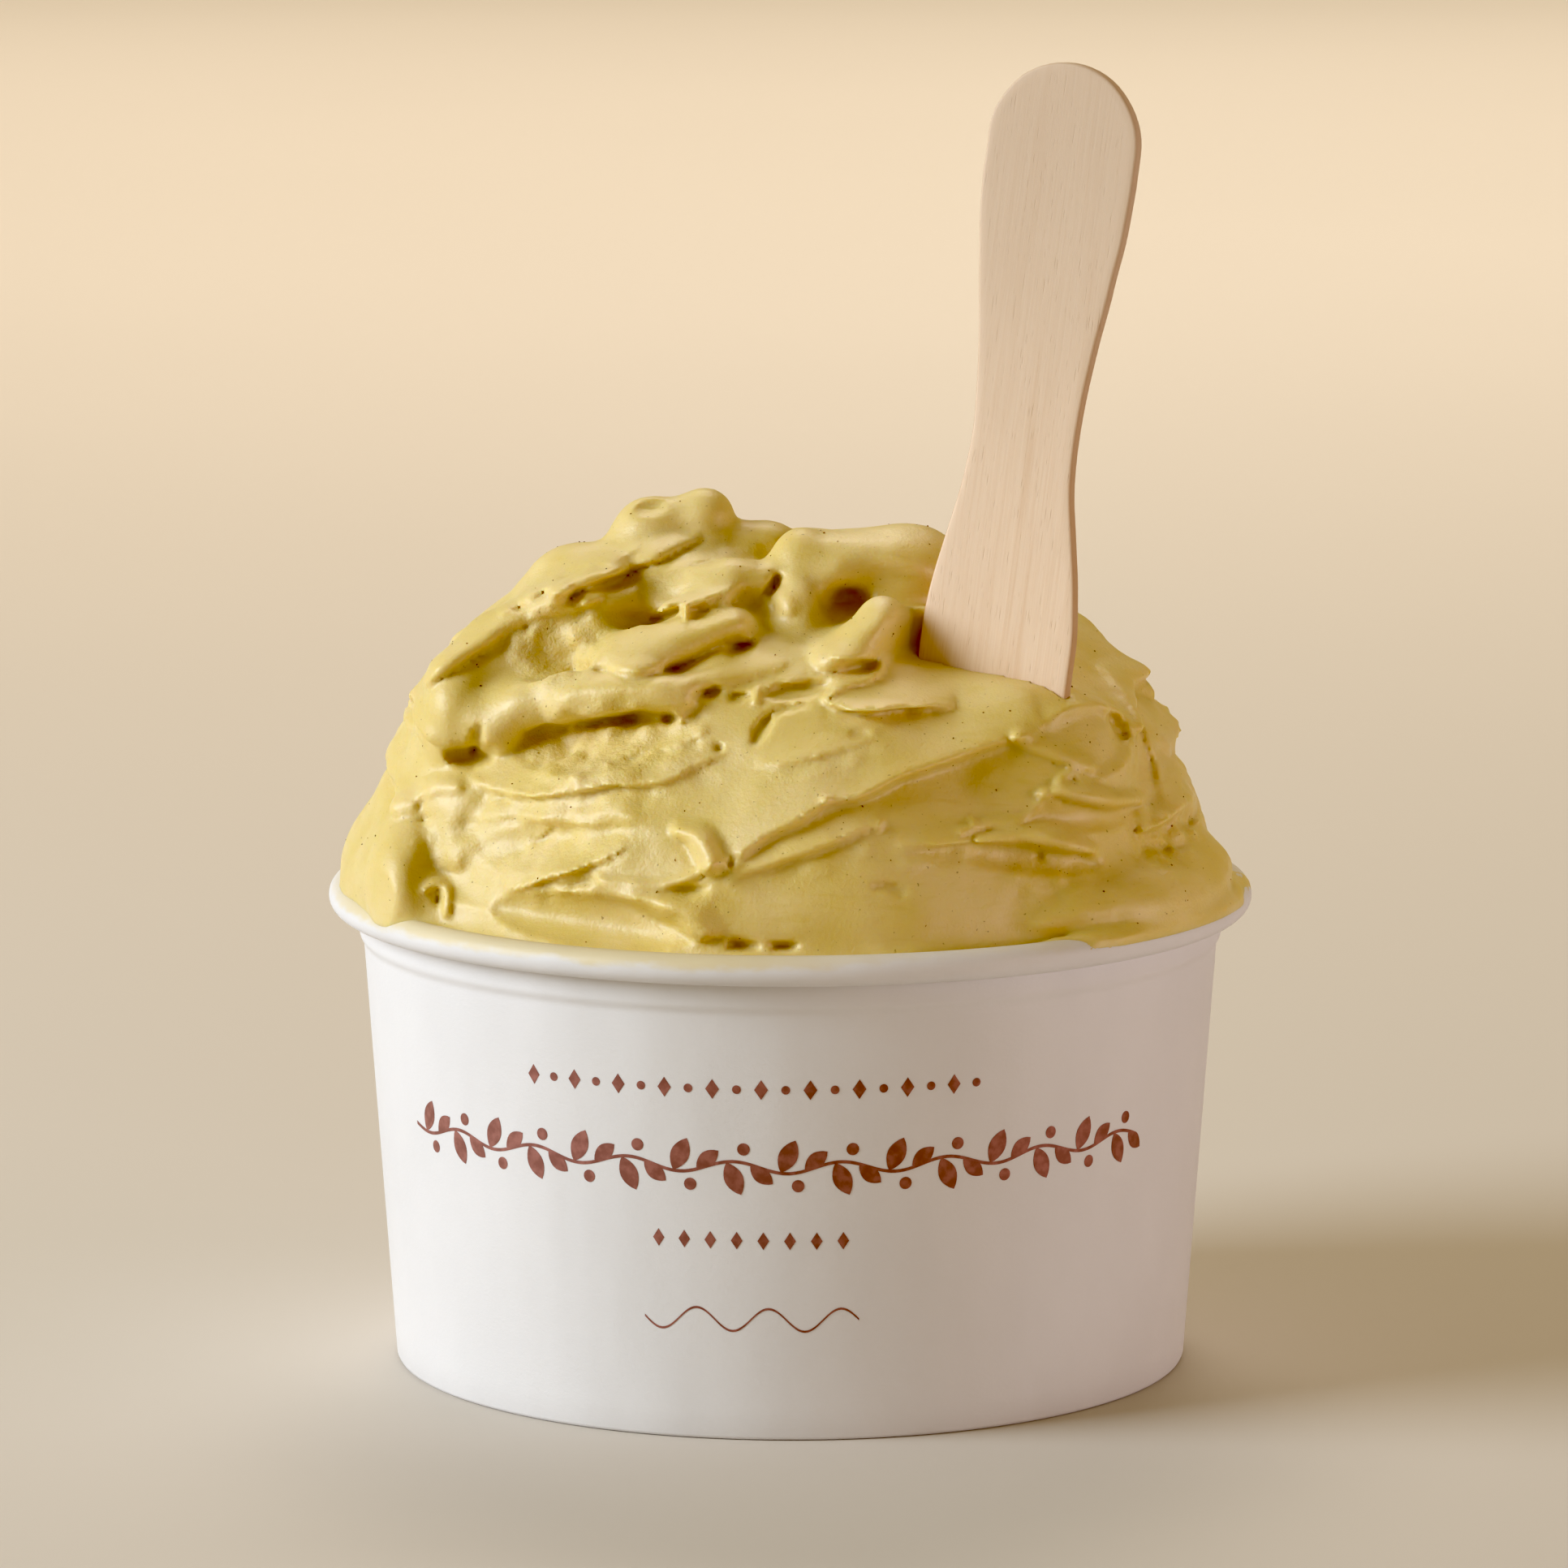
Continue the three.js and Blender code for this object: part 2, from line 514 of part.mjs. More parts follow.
function gelato() {
  return toGeometry(toSolid(gelatoSurface()).subtract(toSolid(spoonShape(GAP))));
}

const group = new THREE.Group();
group.add(piece('cup_wall', cupWall(), 0xf1ece6, 0.55));
group.add(piece('cup_bottom', cupBottom(), 0xf1ece6, 0.6));
group.add(piece('gelato', gelato(), 0xc9b472, 0.42));
group.add(piece('spoon', spoonShape(0), 0xe0c7a6, 0.7));

export default group;
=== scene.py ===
"""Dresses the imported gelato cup: a printed paper cup, a worked heap of pistachio gelato and a wooden spoon.

The frame is in metres. The gelato's form is worked out in millimetres, and its heights, called "up", count
from the cup's rim.
"""

import math

import bmesh
import bpy
import numpy as np
from bpy.props import FloatProperty, FloatVectorProperty, IntProperty, PointerProperty
from mathutils import Matrix, Vector


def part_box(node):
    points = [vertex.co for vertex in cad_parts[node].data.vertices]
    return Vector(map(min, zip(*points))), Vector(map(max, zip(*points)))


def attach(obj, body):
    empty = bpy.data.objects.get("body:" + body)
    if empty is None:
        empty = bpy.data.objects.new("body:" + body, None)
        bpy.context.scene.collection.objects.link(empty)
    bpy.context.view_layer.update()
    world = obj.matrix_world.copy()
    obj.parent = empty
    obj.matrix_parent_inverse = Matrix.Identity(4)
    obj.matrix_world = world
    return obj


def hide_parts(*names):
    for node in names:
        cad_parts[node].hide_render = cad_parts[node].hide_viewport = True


bl_info = {
    "name": "Gelato Cup",
    "version": (1, 0, 0),
    "blender": (4, 5, 0),
    "location": "3D View > Sidebar > Gelato",
    "description": "Builds a paper cup filled to a heap with gelato, and the wooden spoon in it",
    "category": "Add Mesh",
}

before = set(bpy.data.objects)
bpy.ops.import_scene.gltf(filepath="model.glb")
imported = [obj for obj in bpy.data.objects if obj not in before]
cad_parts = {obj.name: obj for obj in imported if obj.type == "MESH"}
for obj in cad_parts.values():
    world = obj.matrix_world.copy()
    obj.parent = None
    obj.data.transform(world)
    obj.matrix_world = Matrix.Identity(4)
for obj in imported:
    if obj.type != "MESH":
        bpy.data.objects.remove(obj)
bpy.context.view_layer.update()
CUP_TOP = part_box("cup_wall")[1]
MM = 0.001


# ---- sizes and colours ----


def length_property(name, description, default):
    words = {"name": name, "description": description}
    return FloatProperty(**words, default=default, unit="LENGTH", precision=5, min=0)


def angle_property(name, description, degrees):
    return FloatProperty(name=name, description=description, default=math.radians(degrees), subtype="ANGLE")


def colour_property(name, description, default):
    words = {"name": name, "description": description}
    return FloatVectorProperty(**words, default=default, subtype="COLOR", min=0, max=1)


class CupSizes(bpy.types.PropertyGroup):
    """The paper cup."""

    height: length_property("Height", "From the foot to the top of the rim", CUP_TOP.z)
    rim_radius: length_property("Rim radius", "Outside of the rolled rim", CUP_TOP.x)
    foot_radius: length_property("Foot radius", "Outside of the wall at the foot", 0.03865)
    roll_radius: length_property("Roll radius", "Section of the rolled rim", 0.00145)
    paper: length_property("Paper", "Thickness of the coated paper", 0.0005)
    step_down: length_property("Step down", "How far under the rim the wall steps in", 0.0056)
    step_depth: length_property("Step depth", "How far the wall steps in", 0.00035)
    hem_height: length_property("Hem height", "Height of the foot's fold and of the bottom", 0.006)
    sides: IntProperty(name="Sides", description="Faces round the cup", default=256, min=16)


class SpoonSizes(bpy.types.PropertyGroup):
    """The flat wooden spoon."""

    length: length_property("Length", "From the blade's tip to the handle's end", 0.075)
    thickness: length_property("Thickness", "Thickness of the wood", 0.0014)
    handle_width: length_property("Handle width", "Width near the round end", 0.0153)
    neck_width: length_property("Neck width", "Width where it is narrowest", 0.0106)
    blade_width: length_property("Blade width", "Width of the blade", 0.0156)
    neck_height: length_property("Neck height", "From the blade's tip to the neck", 0.039)
    edge: length_property("Edge", "Rounding of the cut edge", 0.0003)
    sunk: length_property("Sunk", "Length of the blade that is in the gelato", 0.0168)
    turn: angle_property("Turn", "How far the flat face turns to the left", 25)
    lean: angle_property("Lean", "How far it leans to the right", 6.6)
    tip_back: angle_property("Tip back", "How far it tips away from the front", 3)


class GelatoSizes(bpy.types.PropertyGroup):
    """The gelato and what is in it."""

    cell: length_property("Cell", "Spacing of the lattice that the form is worked out on", 0.00038)
    faces: IntProperty(name="Faces", description="Most triangles that it keeps", default=190000, min=1000)
    wobble: length_property("Wobble", "Height of the broad unevenness", 0.00042)
    grit: length_property("Grit", "Height of the torn surface's grain", 0.0003)
    speck: length_property("Speck", "Greatest size of a fleck of nut skin", 0.00032)
    specks: FloatProperty(name="Specks", description="Flecks on a square metre", default=21000, min=0)
    seed: IntProperty(name="Seed", description="Changes everything random in the gelato", default=7)


class Finishes(bpy.types.PropertyGroup):
    """The colours."""

    gelato: colour_property("Gelato", "Pistachio gelato", (0.73, 0.58, 0.23))
    skin: colour_property("Nut skin", "Flecks of pistachio skin", (0.16, 0.075, 0.02))
    paper: colour_property("Paper", "Coated white paper", (0.765, 0.75, 0.745))
    print_ink: colour_property("Print", "Copper brown print", (0.3, 0.15, 0.13))
    wood: colour_property("Wood", "Pale birch", (0.85, 0.67, 0.51))
    wood_streak: colour_property("Wood streak", "The birch's darker streaks", (0.66, 0.43, 0.26))
    floor: colour_property("Floor", "Floor and backdrop", (0.68, 0.63, 0.57))


# ---- node trees ----


class Wire:
    """A node's output, on which Python's operators add Math nodes."""

    def __init__(self, graph, socket):
        self.graph, self.socket = graph, socket

    def _math(self, operation, first, second=None):
        values = {0: first} if second is None else {0: first, 1: second}
        return self.graph.node("ShaderNodeMath", {"operation": operation}, values)

    def __add__(self, other):
        return self._math("ADD", self, other)

    def __radd__(self, other):
        return self._math("ADD", other, self)

    def __sub__(self, other):
        return self._math("SUBTRACT", self, other)

    def __rsub__(self, other):
        return self._math("SUBTRACT", other, self)

    def __mul__(self, other):
        return self._math("MULTIPLY", self, other)

    def __rmul__(self, other):
        return self._math("MULTIPLY", other, self)

    def __truediv__(self, other):
        return self._math("DIVIDE", self, other)

    def __mod__(self, other):
        return self._math("MODULO", self, other)

    def floor(self):
        return self._math("FLOOR", self)

    def ramp(self, low, high):
        """0 below low and 1 above high, smooth between them."""
        values = {"Value": self, "From Min": low, "From Max": high}
        return self.graph.node("ShaderNodeMapRange", {"interpolation_type": "SMOOTHSTEP"}, values)


class Graph:
    """Adds nodes to one shader or geometry node tree."""

    def __init__(self, tree):
        self.tree = tree

    def node(self, kind, settings=None, values=None, output=0):
        """One node of a kind, with its settings and its sockets' values or links."""
        made = self.tree.nodes.new(kind)
        for name, value in (settings or {}).items():
            setattr(made, name, value)
        for place, value in (values or {}).items():
            if isinstance(value, Wire):
                self.tree.links.new(made.inputs[place], value.socket)
            else:
                made.inputs[place].default_value = value
        return Wire(self, made.outputs[output]) if made.outputs else made

    def split(self, vector):
        """The x, y and z of a vector."""
        apart = self.tree.nodes.new("ShaderNodeSeparateXYZ")
        self.tree.links.new(apart.inputs[0], vector.socket)
        return [Wire(self, socket) for socket in apart.outputs]

    def blend(self, factor, first, second):
        """The colour between two colours."""
        first, second = (x if isinstance(x, Wire) else (*x, 1) for x in (first, second))
        return self.node("ShaderNodeMix", {"data_type": "RGBA"}, {0: factor, 6: first, 7: second}, output=2)


class Finish(Graph):
    """A material around one Principled shader."""

    def __init__(self, name):
        self.material = bpy.data.materials.new(name)
        self.material.use_nodes = True
        super().__init__(self.material.node_tree)
        self.tree.nodes.clear()
        self.place = self.node("ShaderNodeTexCoord", output="Object")

    def scaled(self, x, y=None, z=None, turn=(0, 0, 0), start=(0, 0, 0)):
        """Object coordinates counted in steps of x, y and z metres, or of x each way."""
        step = (1 / x, 1 / (y or x), 1 / (z or x))
        values = {0: self.place, "Location": start, "Rotation": turn}
        moved = self.node("ShaderNodeMapping", {"vector_type": "TEXTURE"}, values)
        return self.node("ShaderNodeVectorMath", {"operation": "MULTIPLY"}, {0: moved, 1: step})

    def noise(self, vector, detail=2.0, roughness=0.5, distortion=0.0):
        values = {"Vector": vector, "Scale": 1.0, "Detail": detail}
        values.update({"Roughness": roughness, "Distortion": distortion})
        return self.node("ShaderNodeTexNoise", {}, values)

    def bump(self, height, distance, strength=1.0, under=None):
        values = {"Height": height, "Distance": distance, "Strength": strength}
        if under is not None:
            values["Normal"] = under
        return self.node("ShaderNodeBump", {}, values)

    def done(self, **sockets):
        """The material, with the shader's sockets named with _ for each space."""
        values = {name.replace("_", " "): value for name, value in sockets.items()}
        shader = self.node("ShaderNodeBsdfPrincipled", {}, values)
        self.node("ShaderNodeOutputMaterial", {}, {"Surface": shader})
        return self.material


class Steps(Graph):
    """A Geometry Nodes tree with named inputs, applied once to one mesh."""

    def __init__(self, name):
        super().__init__(bpy.data.node_groups.new(name, "GeometryNodeTree"))
        self.tree.interface.new_socket("Geometry", in_out="OUTPUT", socket_type="NodeSocketGeometry")
        self.inputs = {}
        self.source = self.tree.nodes.new("NodeGroupInput")
        self.geometry = self.value("Geometry", "NodeSocketGeometry")

    def value(self, name, kind="NodeSocketFloat"):
        """A named input of the tree."""
        self.inputs[name] = self.tree.interface.new_socket(name, in_out="INPUT", socket_type=kind).identifier
        return Wire(self, self.source.outputs[name])

    def turned(self, vector, angle):
        """A vector turned about the upright axis."""
        settings = {"rotation_type": "Z_AXIS"}
        return self.node("ShaderNodeVectorRotate", settings, {"Vector": vector, "Angle": angle})

    def end(self, geometry):
        """Realizes what the tree made, gives it the material that is asked for and closes the tree."""
        material = self.value("Material", "NodeSocketMaterial")
        real = self.node("GeometryNodeRealizeInstances", {}, {0: geometry})
        finished = self.node("GeometryNodeSetMaterial", {}, {"Geometry": real, "Material": material})
        self.node("NodeGroupOutput", {}, {0: finished})
        return self

    def run(self, name, mesh, **values):
        """A plain object with what the tree makes of the mesh."""
        holder = bpy.data.objects.new(name, mesh)
        bpy.context.scene.collection.objects.link(holder)
        modifier = holder.modifiers.new(name, "NODES")
        modifier.node_group = self.tree
        for key, value in values.items():
            modifier[self.inputs[key.replace("_", " ")]] = value
        evaluated = holder.evaluated_get(bpy.context.evaluated_depsgraph_get())
        made = bpy.data.meshes.new_from_object(evaluated)
        holder.modifiers.clear()
        holder.data = made
        made.name = name
        return holder


# ---- meshes ----


def mesh_object(name, points, faces, material):
    """A smooth object from points in metres."""
    mesh = bpy.data.meshes.new(name)
    mesh.from_pydata(np.asarray(points).tolist(), [], [list(map(int, face)) for face in faces])
    mesh.shade_smooth()
    made = bpy.data.objects.new(name, mesh)
    bpy.context.scene.collection.objects.link(made)
    mesh.materials.append(material)
    return made


def face_out(made):
    """Turns a closed piece's faces outwards."""
    shape = bmesh.new()
    shape.from_mesh(made.data)
    if shape.calc_volume(signed=True) < 0:
        bmesh.ops.reverse_faces(shape, faces=shape.faces)
    shape.to_mesh(made.data)
    shape.free()
    return made


def dress(made, slot, *nodes):
    """Puts a finished piece in the frame, in place of CAD nodes."""
    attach(made, "root")
    if nodes:
        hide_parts(*nodes)


def smooth(t):
    """0 below 0 and 1 above 1, smooth between them."""
    t = np.clip(t, 0, 1)
    return t * t * (3 - 2 * t)


def arc(centre, radius, angles):
    """Points on a circle at some angles."""
    return [(centre[0] + radius * math.cos(a), centre[1] + radius * math.sin(a)) for a in angles]


def tint(colour, by):
    """A colour made lighter or darker."""
    return tuple(min(1, by * c) for c in colour)


# ---- the paper cup ----

AIR = 0.3 * MM  # between two layers of paper
IN_ROLL = 0.3 * MM  # how far the wall stands into the rolled rim
FOLD_HEIGHT = 1.5 * MM  # from the foot to where the hem's fold starts inside
ROUNDING = 0.4 * MM  # how far the folded edge at the foot is rounded, and half-way round
ROUNDING_MIDDLE = 0.12 * MM


def wall_radius(cup, height):
    """Outside of the wall, in metres, at a height over the foot."""
    top = cup.rim_radius - 2 * cup.roll_radius + IN_ROLL
    taper = (top - cup.step_depth - cup.foot_radius) / cup.height
    step = cup.step_depth * smooth((height - (cup.height - cup.step_down) + 0.5 * MM) / MM)
    return cup.foot_radius + taper * height + step


def wall_profile(cup):
    """(radius, height) round the section of the wall, from the foot up the outside."""
    heights = [ROUNDING, 3 * MM, 12 * MM, 24 * MM, cup.height - cup.step_down - 1.5 * MM]
    heights += [cup.height - cup.step_down + k * 0.25 * MM for k in range(-3, 4)]
    heights += [cup.height - 4 * MM, cup.height - 3 * MM]
    outside = [(wall_radius(cup, z), z) for z in heights]
    centre = (cup.rim_radius - cup.roll_radius, cup.height - cup.roll_radius)
    roll = arc(centre, cup.roll_radius, np.radians(np.linspace(-150, 195, 40)))
    inside = [(radius - cup.paper, z) for radius, z in outside[::-1] if z > 2 * MM]
    fold = cup.foot_radius - 2 * cup.paper - 0.6 * MM
    within = fold - cup.paper
    hem_top = cup.hem_height - cup.paper - AIR
    hem = [(wall_radius(cup, FOLD_HEIGHT) - cup.paper, FOLD_HEIGHT), (fold, FOLD_HEIGHT), (fold, hem_top)]
    hem += [(within, hem_top), (within, ROUNDING), (within + ROUNDING_MIDDLE, ROUNDING_MIDDLE)]
    foot = [(within + ROUNDING, 0), (cup.foot_radius - ROUNDING, 0)]
    foot += [(cup.foot_radius - ROUNDING_MIDDLE, ROUNDING_MIDDLE)]
    return outside + roll + inside + hem + foot + outside[:1]


def bottom_profile(cup):
    """(radius, height) round the section of the bottom, from its middle."""
    skirt_out = cup.foot_radius - cup.paper - AIR
    skirt_in = skirt_out - cup.paper
    foot, low, top = 1.8 * MM, cup.hem_height, cup.hem_height + cup.paper
    return [(0, low), (skirt_in, low), (skirt_in, foot), (skirt_out, foot), (skirt_out, top), (0, top)]


def turn_tree():
    """Turns a profile, drawn as points (radius, 0, height), about the upright axis."""
    steps = Steps("Turned profile")
    profile = steps.geometry
    sides = steps.value("Sides", "NodeSocketInt")
    count = steps.node("GeometryNodeAttributeDomainSize", {"component": "MESH"}, {0: profile})
    grid = steps.node("GeometryNodeMeshGrid", {}, {"Vertices X": sides + 1, "Vertices Y": count})
    index = steps.node("GeometryNodeInputIndex")
    place = steps.node("GeometryNodeInputPosition")
    row = index % count
    column = (index / count).floor()
    values = {"Geometry": profile, "Value": place, "Index": row}
    picked = steps.node("GeometryNodeSampleIndex", {"data_type": "FLOAT_VECTOR"}, values)
    turned = steps.turned(picked, column / sides * (2 * math.pi))
    spun = steps.node("GeometryNodeSetPosition", {}, {"Geometry": grid, "Position": turned})
    merged = steps.node("GeometryNodeMergeByDistance", {}, {"Geometry": spun, "Distance": 1e-7})
    return steps.end(merged)


def turned_piece(name, profile, sides, material):
    points = [(radius, 0, height) for radius, height in profile]
    mesh = bpy.data.meshes.new(name)
    mesh.from_pydata(points, [(i, i + 1) for i in range(len(points) - 1)], [])
    made = face_out(turn_tree().run(name, mesh, Sides=sides, Material=material))
    made.data.shade_smooth()
    return made


def paper_finish(colours, cup):
    """White coated paper: a faint fibre grain, slow waves in the board, and gelato smeared on the rim."""
    finish = Finish("coated_paper")
    across, depth, height = finish.split(finish.place)
    wander = finish.noise(finish.scaled(5 * MM, 5 * MM, 2 * MM), detail=3, roughness=0.6)
    front = (across * -1.0 + 4 * MM).ramp(-8 * MM, 12 * MM) * (0 - depth).ramp(0, 20 * MM)
    edge = cup.height - 1.9 * MM + 2.2 * MM * wander - 0.5 * MM * front
    smear = (height - edge).ramp(-0.3 * MM, 0.7 * MM) * (0.18 + 0.4 * front)
    fibre = finish.noise(finish.scaled(0.5 * MM, 0.5 * MM, 0.35 * MM), detail=4, roughness=0.65)
    cloud = finish.noise(finish.scaled(9 * MM, 9 * MM, 14 * MM), detail=2)
    wave = finish.noise(finish.scaled(6 * MM, 6 * MM, 22 * MM), detail=1)
    shade = finish.blend(cloud.ramp(0.3, 0.75), tint(colours.paper, 0.97), colours.paper)
    grainy = finish.bump(fibre, 0.05 * MM, 0.5)
    waved = finish.bump(wave, 0.5 * MM, 0.35, grainy)
    rough = 0.46 + 0.16 * fibre
    smeared = finish.blend(smear, shade, colours.gelato)
    return finish.done(
        Base_Color=smeared, Roughness=rough - 0.1 * smear, Normal=waved, Specular_IOR_Level=0.4,
        Subsurface_Weight=0.12, Subsurface_Radius=(1.0, 0.9, 0.8), Subsurface_Scale=0.6 * MM,
    )


# ---- the print ----

INK = 0.03 * MM  # how far the print stands proud of the paper


def leaf(centre, length, width, angle, ribs=10):
    """The outline of a pointed leaf whose stalk is at the centre."""
    outline = []
    for side in (-1, 1):
        for i in range(ribs):
            t = i / ribs if side < 0 else 1 - i / ribs
            outline.append((length * t, side * width / 2 * math.sin(math.pi * t) ** 0.8))
    c, s = math.cos(angle), math.sin(angle)
    return [(centre[0] + x * c - y * s, centre[1] + x * s + y * c) for x, y in outline]


def lozenge(centre, width, height):
    x, y = centre
    return [(x - width / 2, y), (x, y - height / 2), (x + width / 2, y), (x, y + height / 2)]


def dot(centre, radius, sides=16):
    return arc(centre, radius, [2 * math.pi * i / sides for i in range(sides)])


def stem(length, rise, width, waves, steps=24):
    """A waved line as a strip of small faces."""
    strips = []
    for i in range(steps):
        a, b = ((k / steps - 0.5) * length for k in (i, i + 1))
        ya, yb = (rise * math.sin(2 * math.pi * waves * x / length) for x in (a, b))
        strips.append([(a, ya - width / 2), (b, yb - width / 2), (b, yb + width / 2), (a, ya + width / 2)])
    return strips


def garland_unit(pitch):
    """One repeat of the wide row: a stem's wave with leaves and a berry on each side."""
    half = pitch / 2
    shapes = stem(pitch, 0.55 * MM, 0.32 * MM, 1)
    shapes.append(leaf((-half * 0.62, -0.45 * MM), 3.4 * MM, 1.8 * MM, math.radians(66)))
    shapes.append(leaf((-half * 0.18, -0.1 * MM), 2.7 * MM, 1.5 * MM, math.radians(38)))
    shapes.append(leaf((half * 0.38, 0.45 * MM), 3.4 * MM, 1.8 * MM, math.radians(-66)))
    shapes.append(leaf((half * 0.82, 0.1 * MM), 2.7 * MM, 1.5 * MM, math.radians(-38)))
    shapes.append(dot((-half * 0.3, -1.75 * MM), 0.6 * MM))
    shapes.append(dot((half * 0.7, 1.75 * MM), 0.6 * MM))
    return shapes


def wrap_tree():
    """Repeats a flat motif in a row and wraps the row on the cup's cone, a little proud of it."""
    steps = Steps("Printed row")
    count = steps.value("Count", "NodeSocketInt")
    pitch, height, middle = steps.value("Pitch"), steps.value("Height"), steps.value("Middle")
    foot, taper, ink = steps.value("Foot radius"), steps.value("Taper"), steps.value("Ink")
    start = steps.node("ShaderNodeCombineXYZ", {}, {0: (count - 1) * pitch * -0.5})
    step = steps.node("ShaderNodeCombineXYZ", {}, {0: pitch})
    values = {"Count": count, "Start Location": start, "Offset": step}
    line = steps.node("GeometryNodeMeshLine", {"mode": "OFFSET"}, values)
    row = steps.node("GeometryNodeInstanceOnPoints", {}, {"Points": line, "Instance": steps.geometry})
    real = steps.node("GeometryNodeRealizeInstances", {}, {0: row})
    thick = steps.node("GeometryNodeExtrudeMesh", {}, {"Mesh": real, "Offset Scale": ink * 2})
    along, across, out = steps.split(steps.node("GeometryNodeInputPosition"))
    level = height + across
    radius = foot + taper * level + out - ink
    angle = along / (foot + taper * height) + middle
    flat = steps.node("ShaderNodeCombineXYZ", {}, {0: radius, 2: level})
    values = {"Geometry": thick, "Position": steps.turned(flat, angle)}
    return steps.end(steps.node("GeometryNodeSetPosition", {}, values))


def ink_finish(colours):
    """Copper brown print with a slight metal sheen, worn thin in places."""
    finish = Finish("copper_print")
    patch = finish.noise(finish.scaled(0.9 * MM), detail=3)
    tone = finish.blend(patch.ramp(0.35, 0.7), colours.print_ink, tint(colours.print_ink, 1.35))
    rough, relief = 0.34 + 0.2 * patch, finish.bump(patch, 0.01 * MM, 0.4)
    return finish.done(Base_Color=tone, Roughness=rough, Metallic=0.35, Normal=relief)


# ---- the wooden spoon ----

SPOON_PLACE = (17.2, -20.5, 53.6)  # the blade's tip, in millimetres
BLADE_CORNER = 3.2 * MM
BLADE_EVEN = 20 * MM  # how far up from its tip the blade keeps its width
HANDLE_EVEN = 3 * MM  # how far down from its round end the handle keeps its width


def spoon_half_width(spoon, along):
    """Half the spoon's width at a distance from the blade's tip, in metres."""
    if along > spoon.neck_height:
        full = spoon.length - spoon.handle_width / 2 - HANDLE_EVEN
        low, high = spoon.neck_width, spoon.handle_width
        share = float(smooth((along - spoon.neck_height) / (full - spoon.neck_height))) ** 1.1
    else:
        low, high = spoon.blade_width, spoon.neck_width
        share = float(smooth((along - BLADE_EVEN) / (spoon.neck_height - BLADE_EVEN)))
    return (low + (high - low) * share) / 2


def spoon_outline(spoon):
    """Half the outline, from the middle of the blade's tip up its right side to the handle's end."""
    corner, half, reach = BLADE_CORNER, spoon.blade_width / 2, spoon.handle_width / 2
    shoulder = spoon.length - reach
    right = [(0.3 * half, 0), (half - corner, 0)]
    for a in np.radians(range(12, 91, 13)):
        right.append((half - corner + corner * math.sin(a), corner - corner * math.cos(a)))
    right += [(spoon_half_width(spoon, y), y) for y in np.linspace(corner + 2 * MM, shoulder, 60)]
    return right + arc((0, shoulder), reach, np.radians(range(6, 90, 6)))


def spoon_pose(spoon):
    """From the spoon's own axes (across, thickness, along) to the frame."""
    place = Matrix.Translation([c * MM for c in SPOON_PLACE])
    turned = place @ Matrix.Rotation(-spoon.turn, 4, "Z") @ Matrix.Rotation(-spoon.tip_back, 4, "X")
    return turned @ Matrix.Rotation(spoon.lean, 4, "Y")


def spoon_points(spoon):
    """Rings round the spoon, from front to back, each as far inside the outline as the rounded edge asks."""
    right = spoon_outline(spoon)
    outline = np.array(right + [(0, spoon.length)] + [(-x, y) for x, y in right[::-1]])
    ahead, behind = np.roll(outline, -1, axis=0), np.roll(outline, 1, axis=0)
    way = ahead - behind
    inward = np.column_stack([-way[:, 1], way[:, 0]]) / np.linalg.norm(way, axis=1)[:, None]
    half, edge = spoon.thickness / 2, spoon.edge
    across, up = outline.T
    burr = 0.06 * MM * np.sin(up / (1.7 * MM)) * np.sin(up / (4.1 * MM) + across / MM)
    rings = [(edge * 3, -half), (edge, -half)]
    rings += [(edge * (1 - math.sin(a)), -half + edge * (1 - math.cos(a))) for a in np.radians((30, 60, 90))]
    rings += [(edge * (1 - math.cos(a)), half - edge * (1 - math.sin(a))) for a in np.radians((0, 30, 60))]
    rings += [(edge, half), (edge * 3, half)]
    points = []
    for inset, depth in rings:
        ring = outline + inward * (inset + np.maximum(burr, 0))[:, None]
        points.append(np.column_stack([ring[:, 0], np.full(len(ring), depth), ring[:, 1]]))
    return points


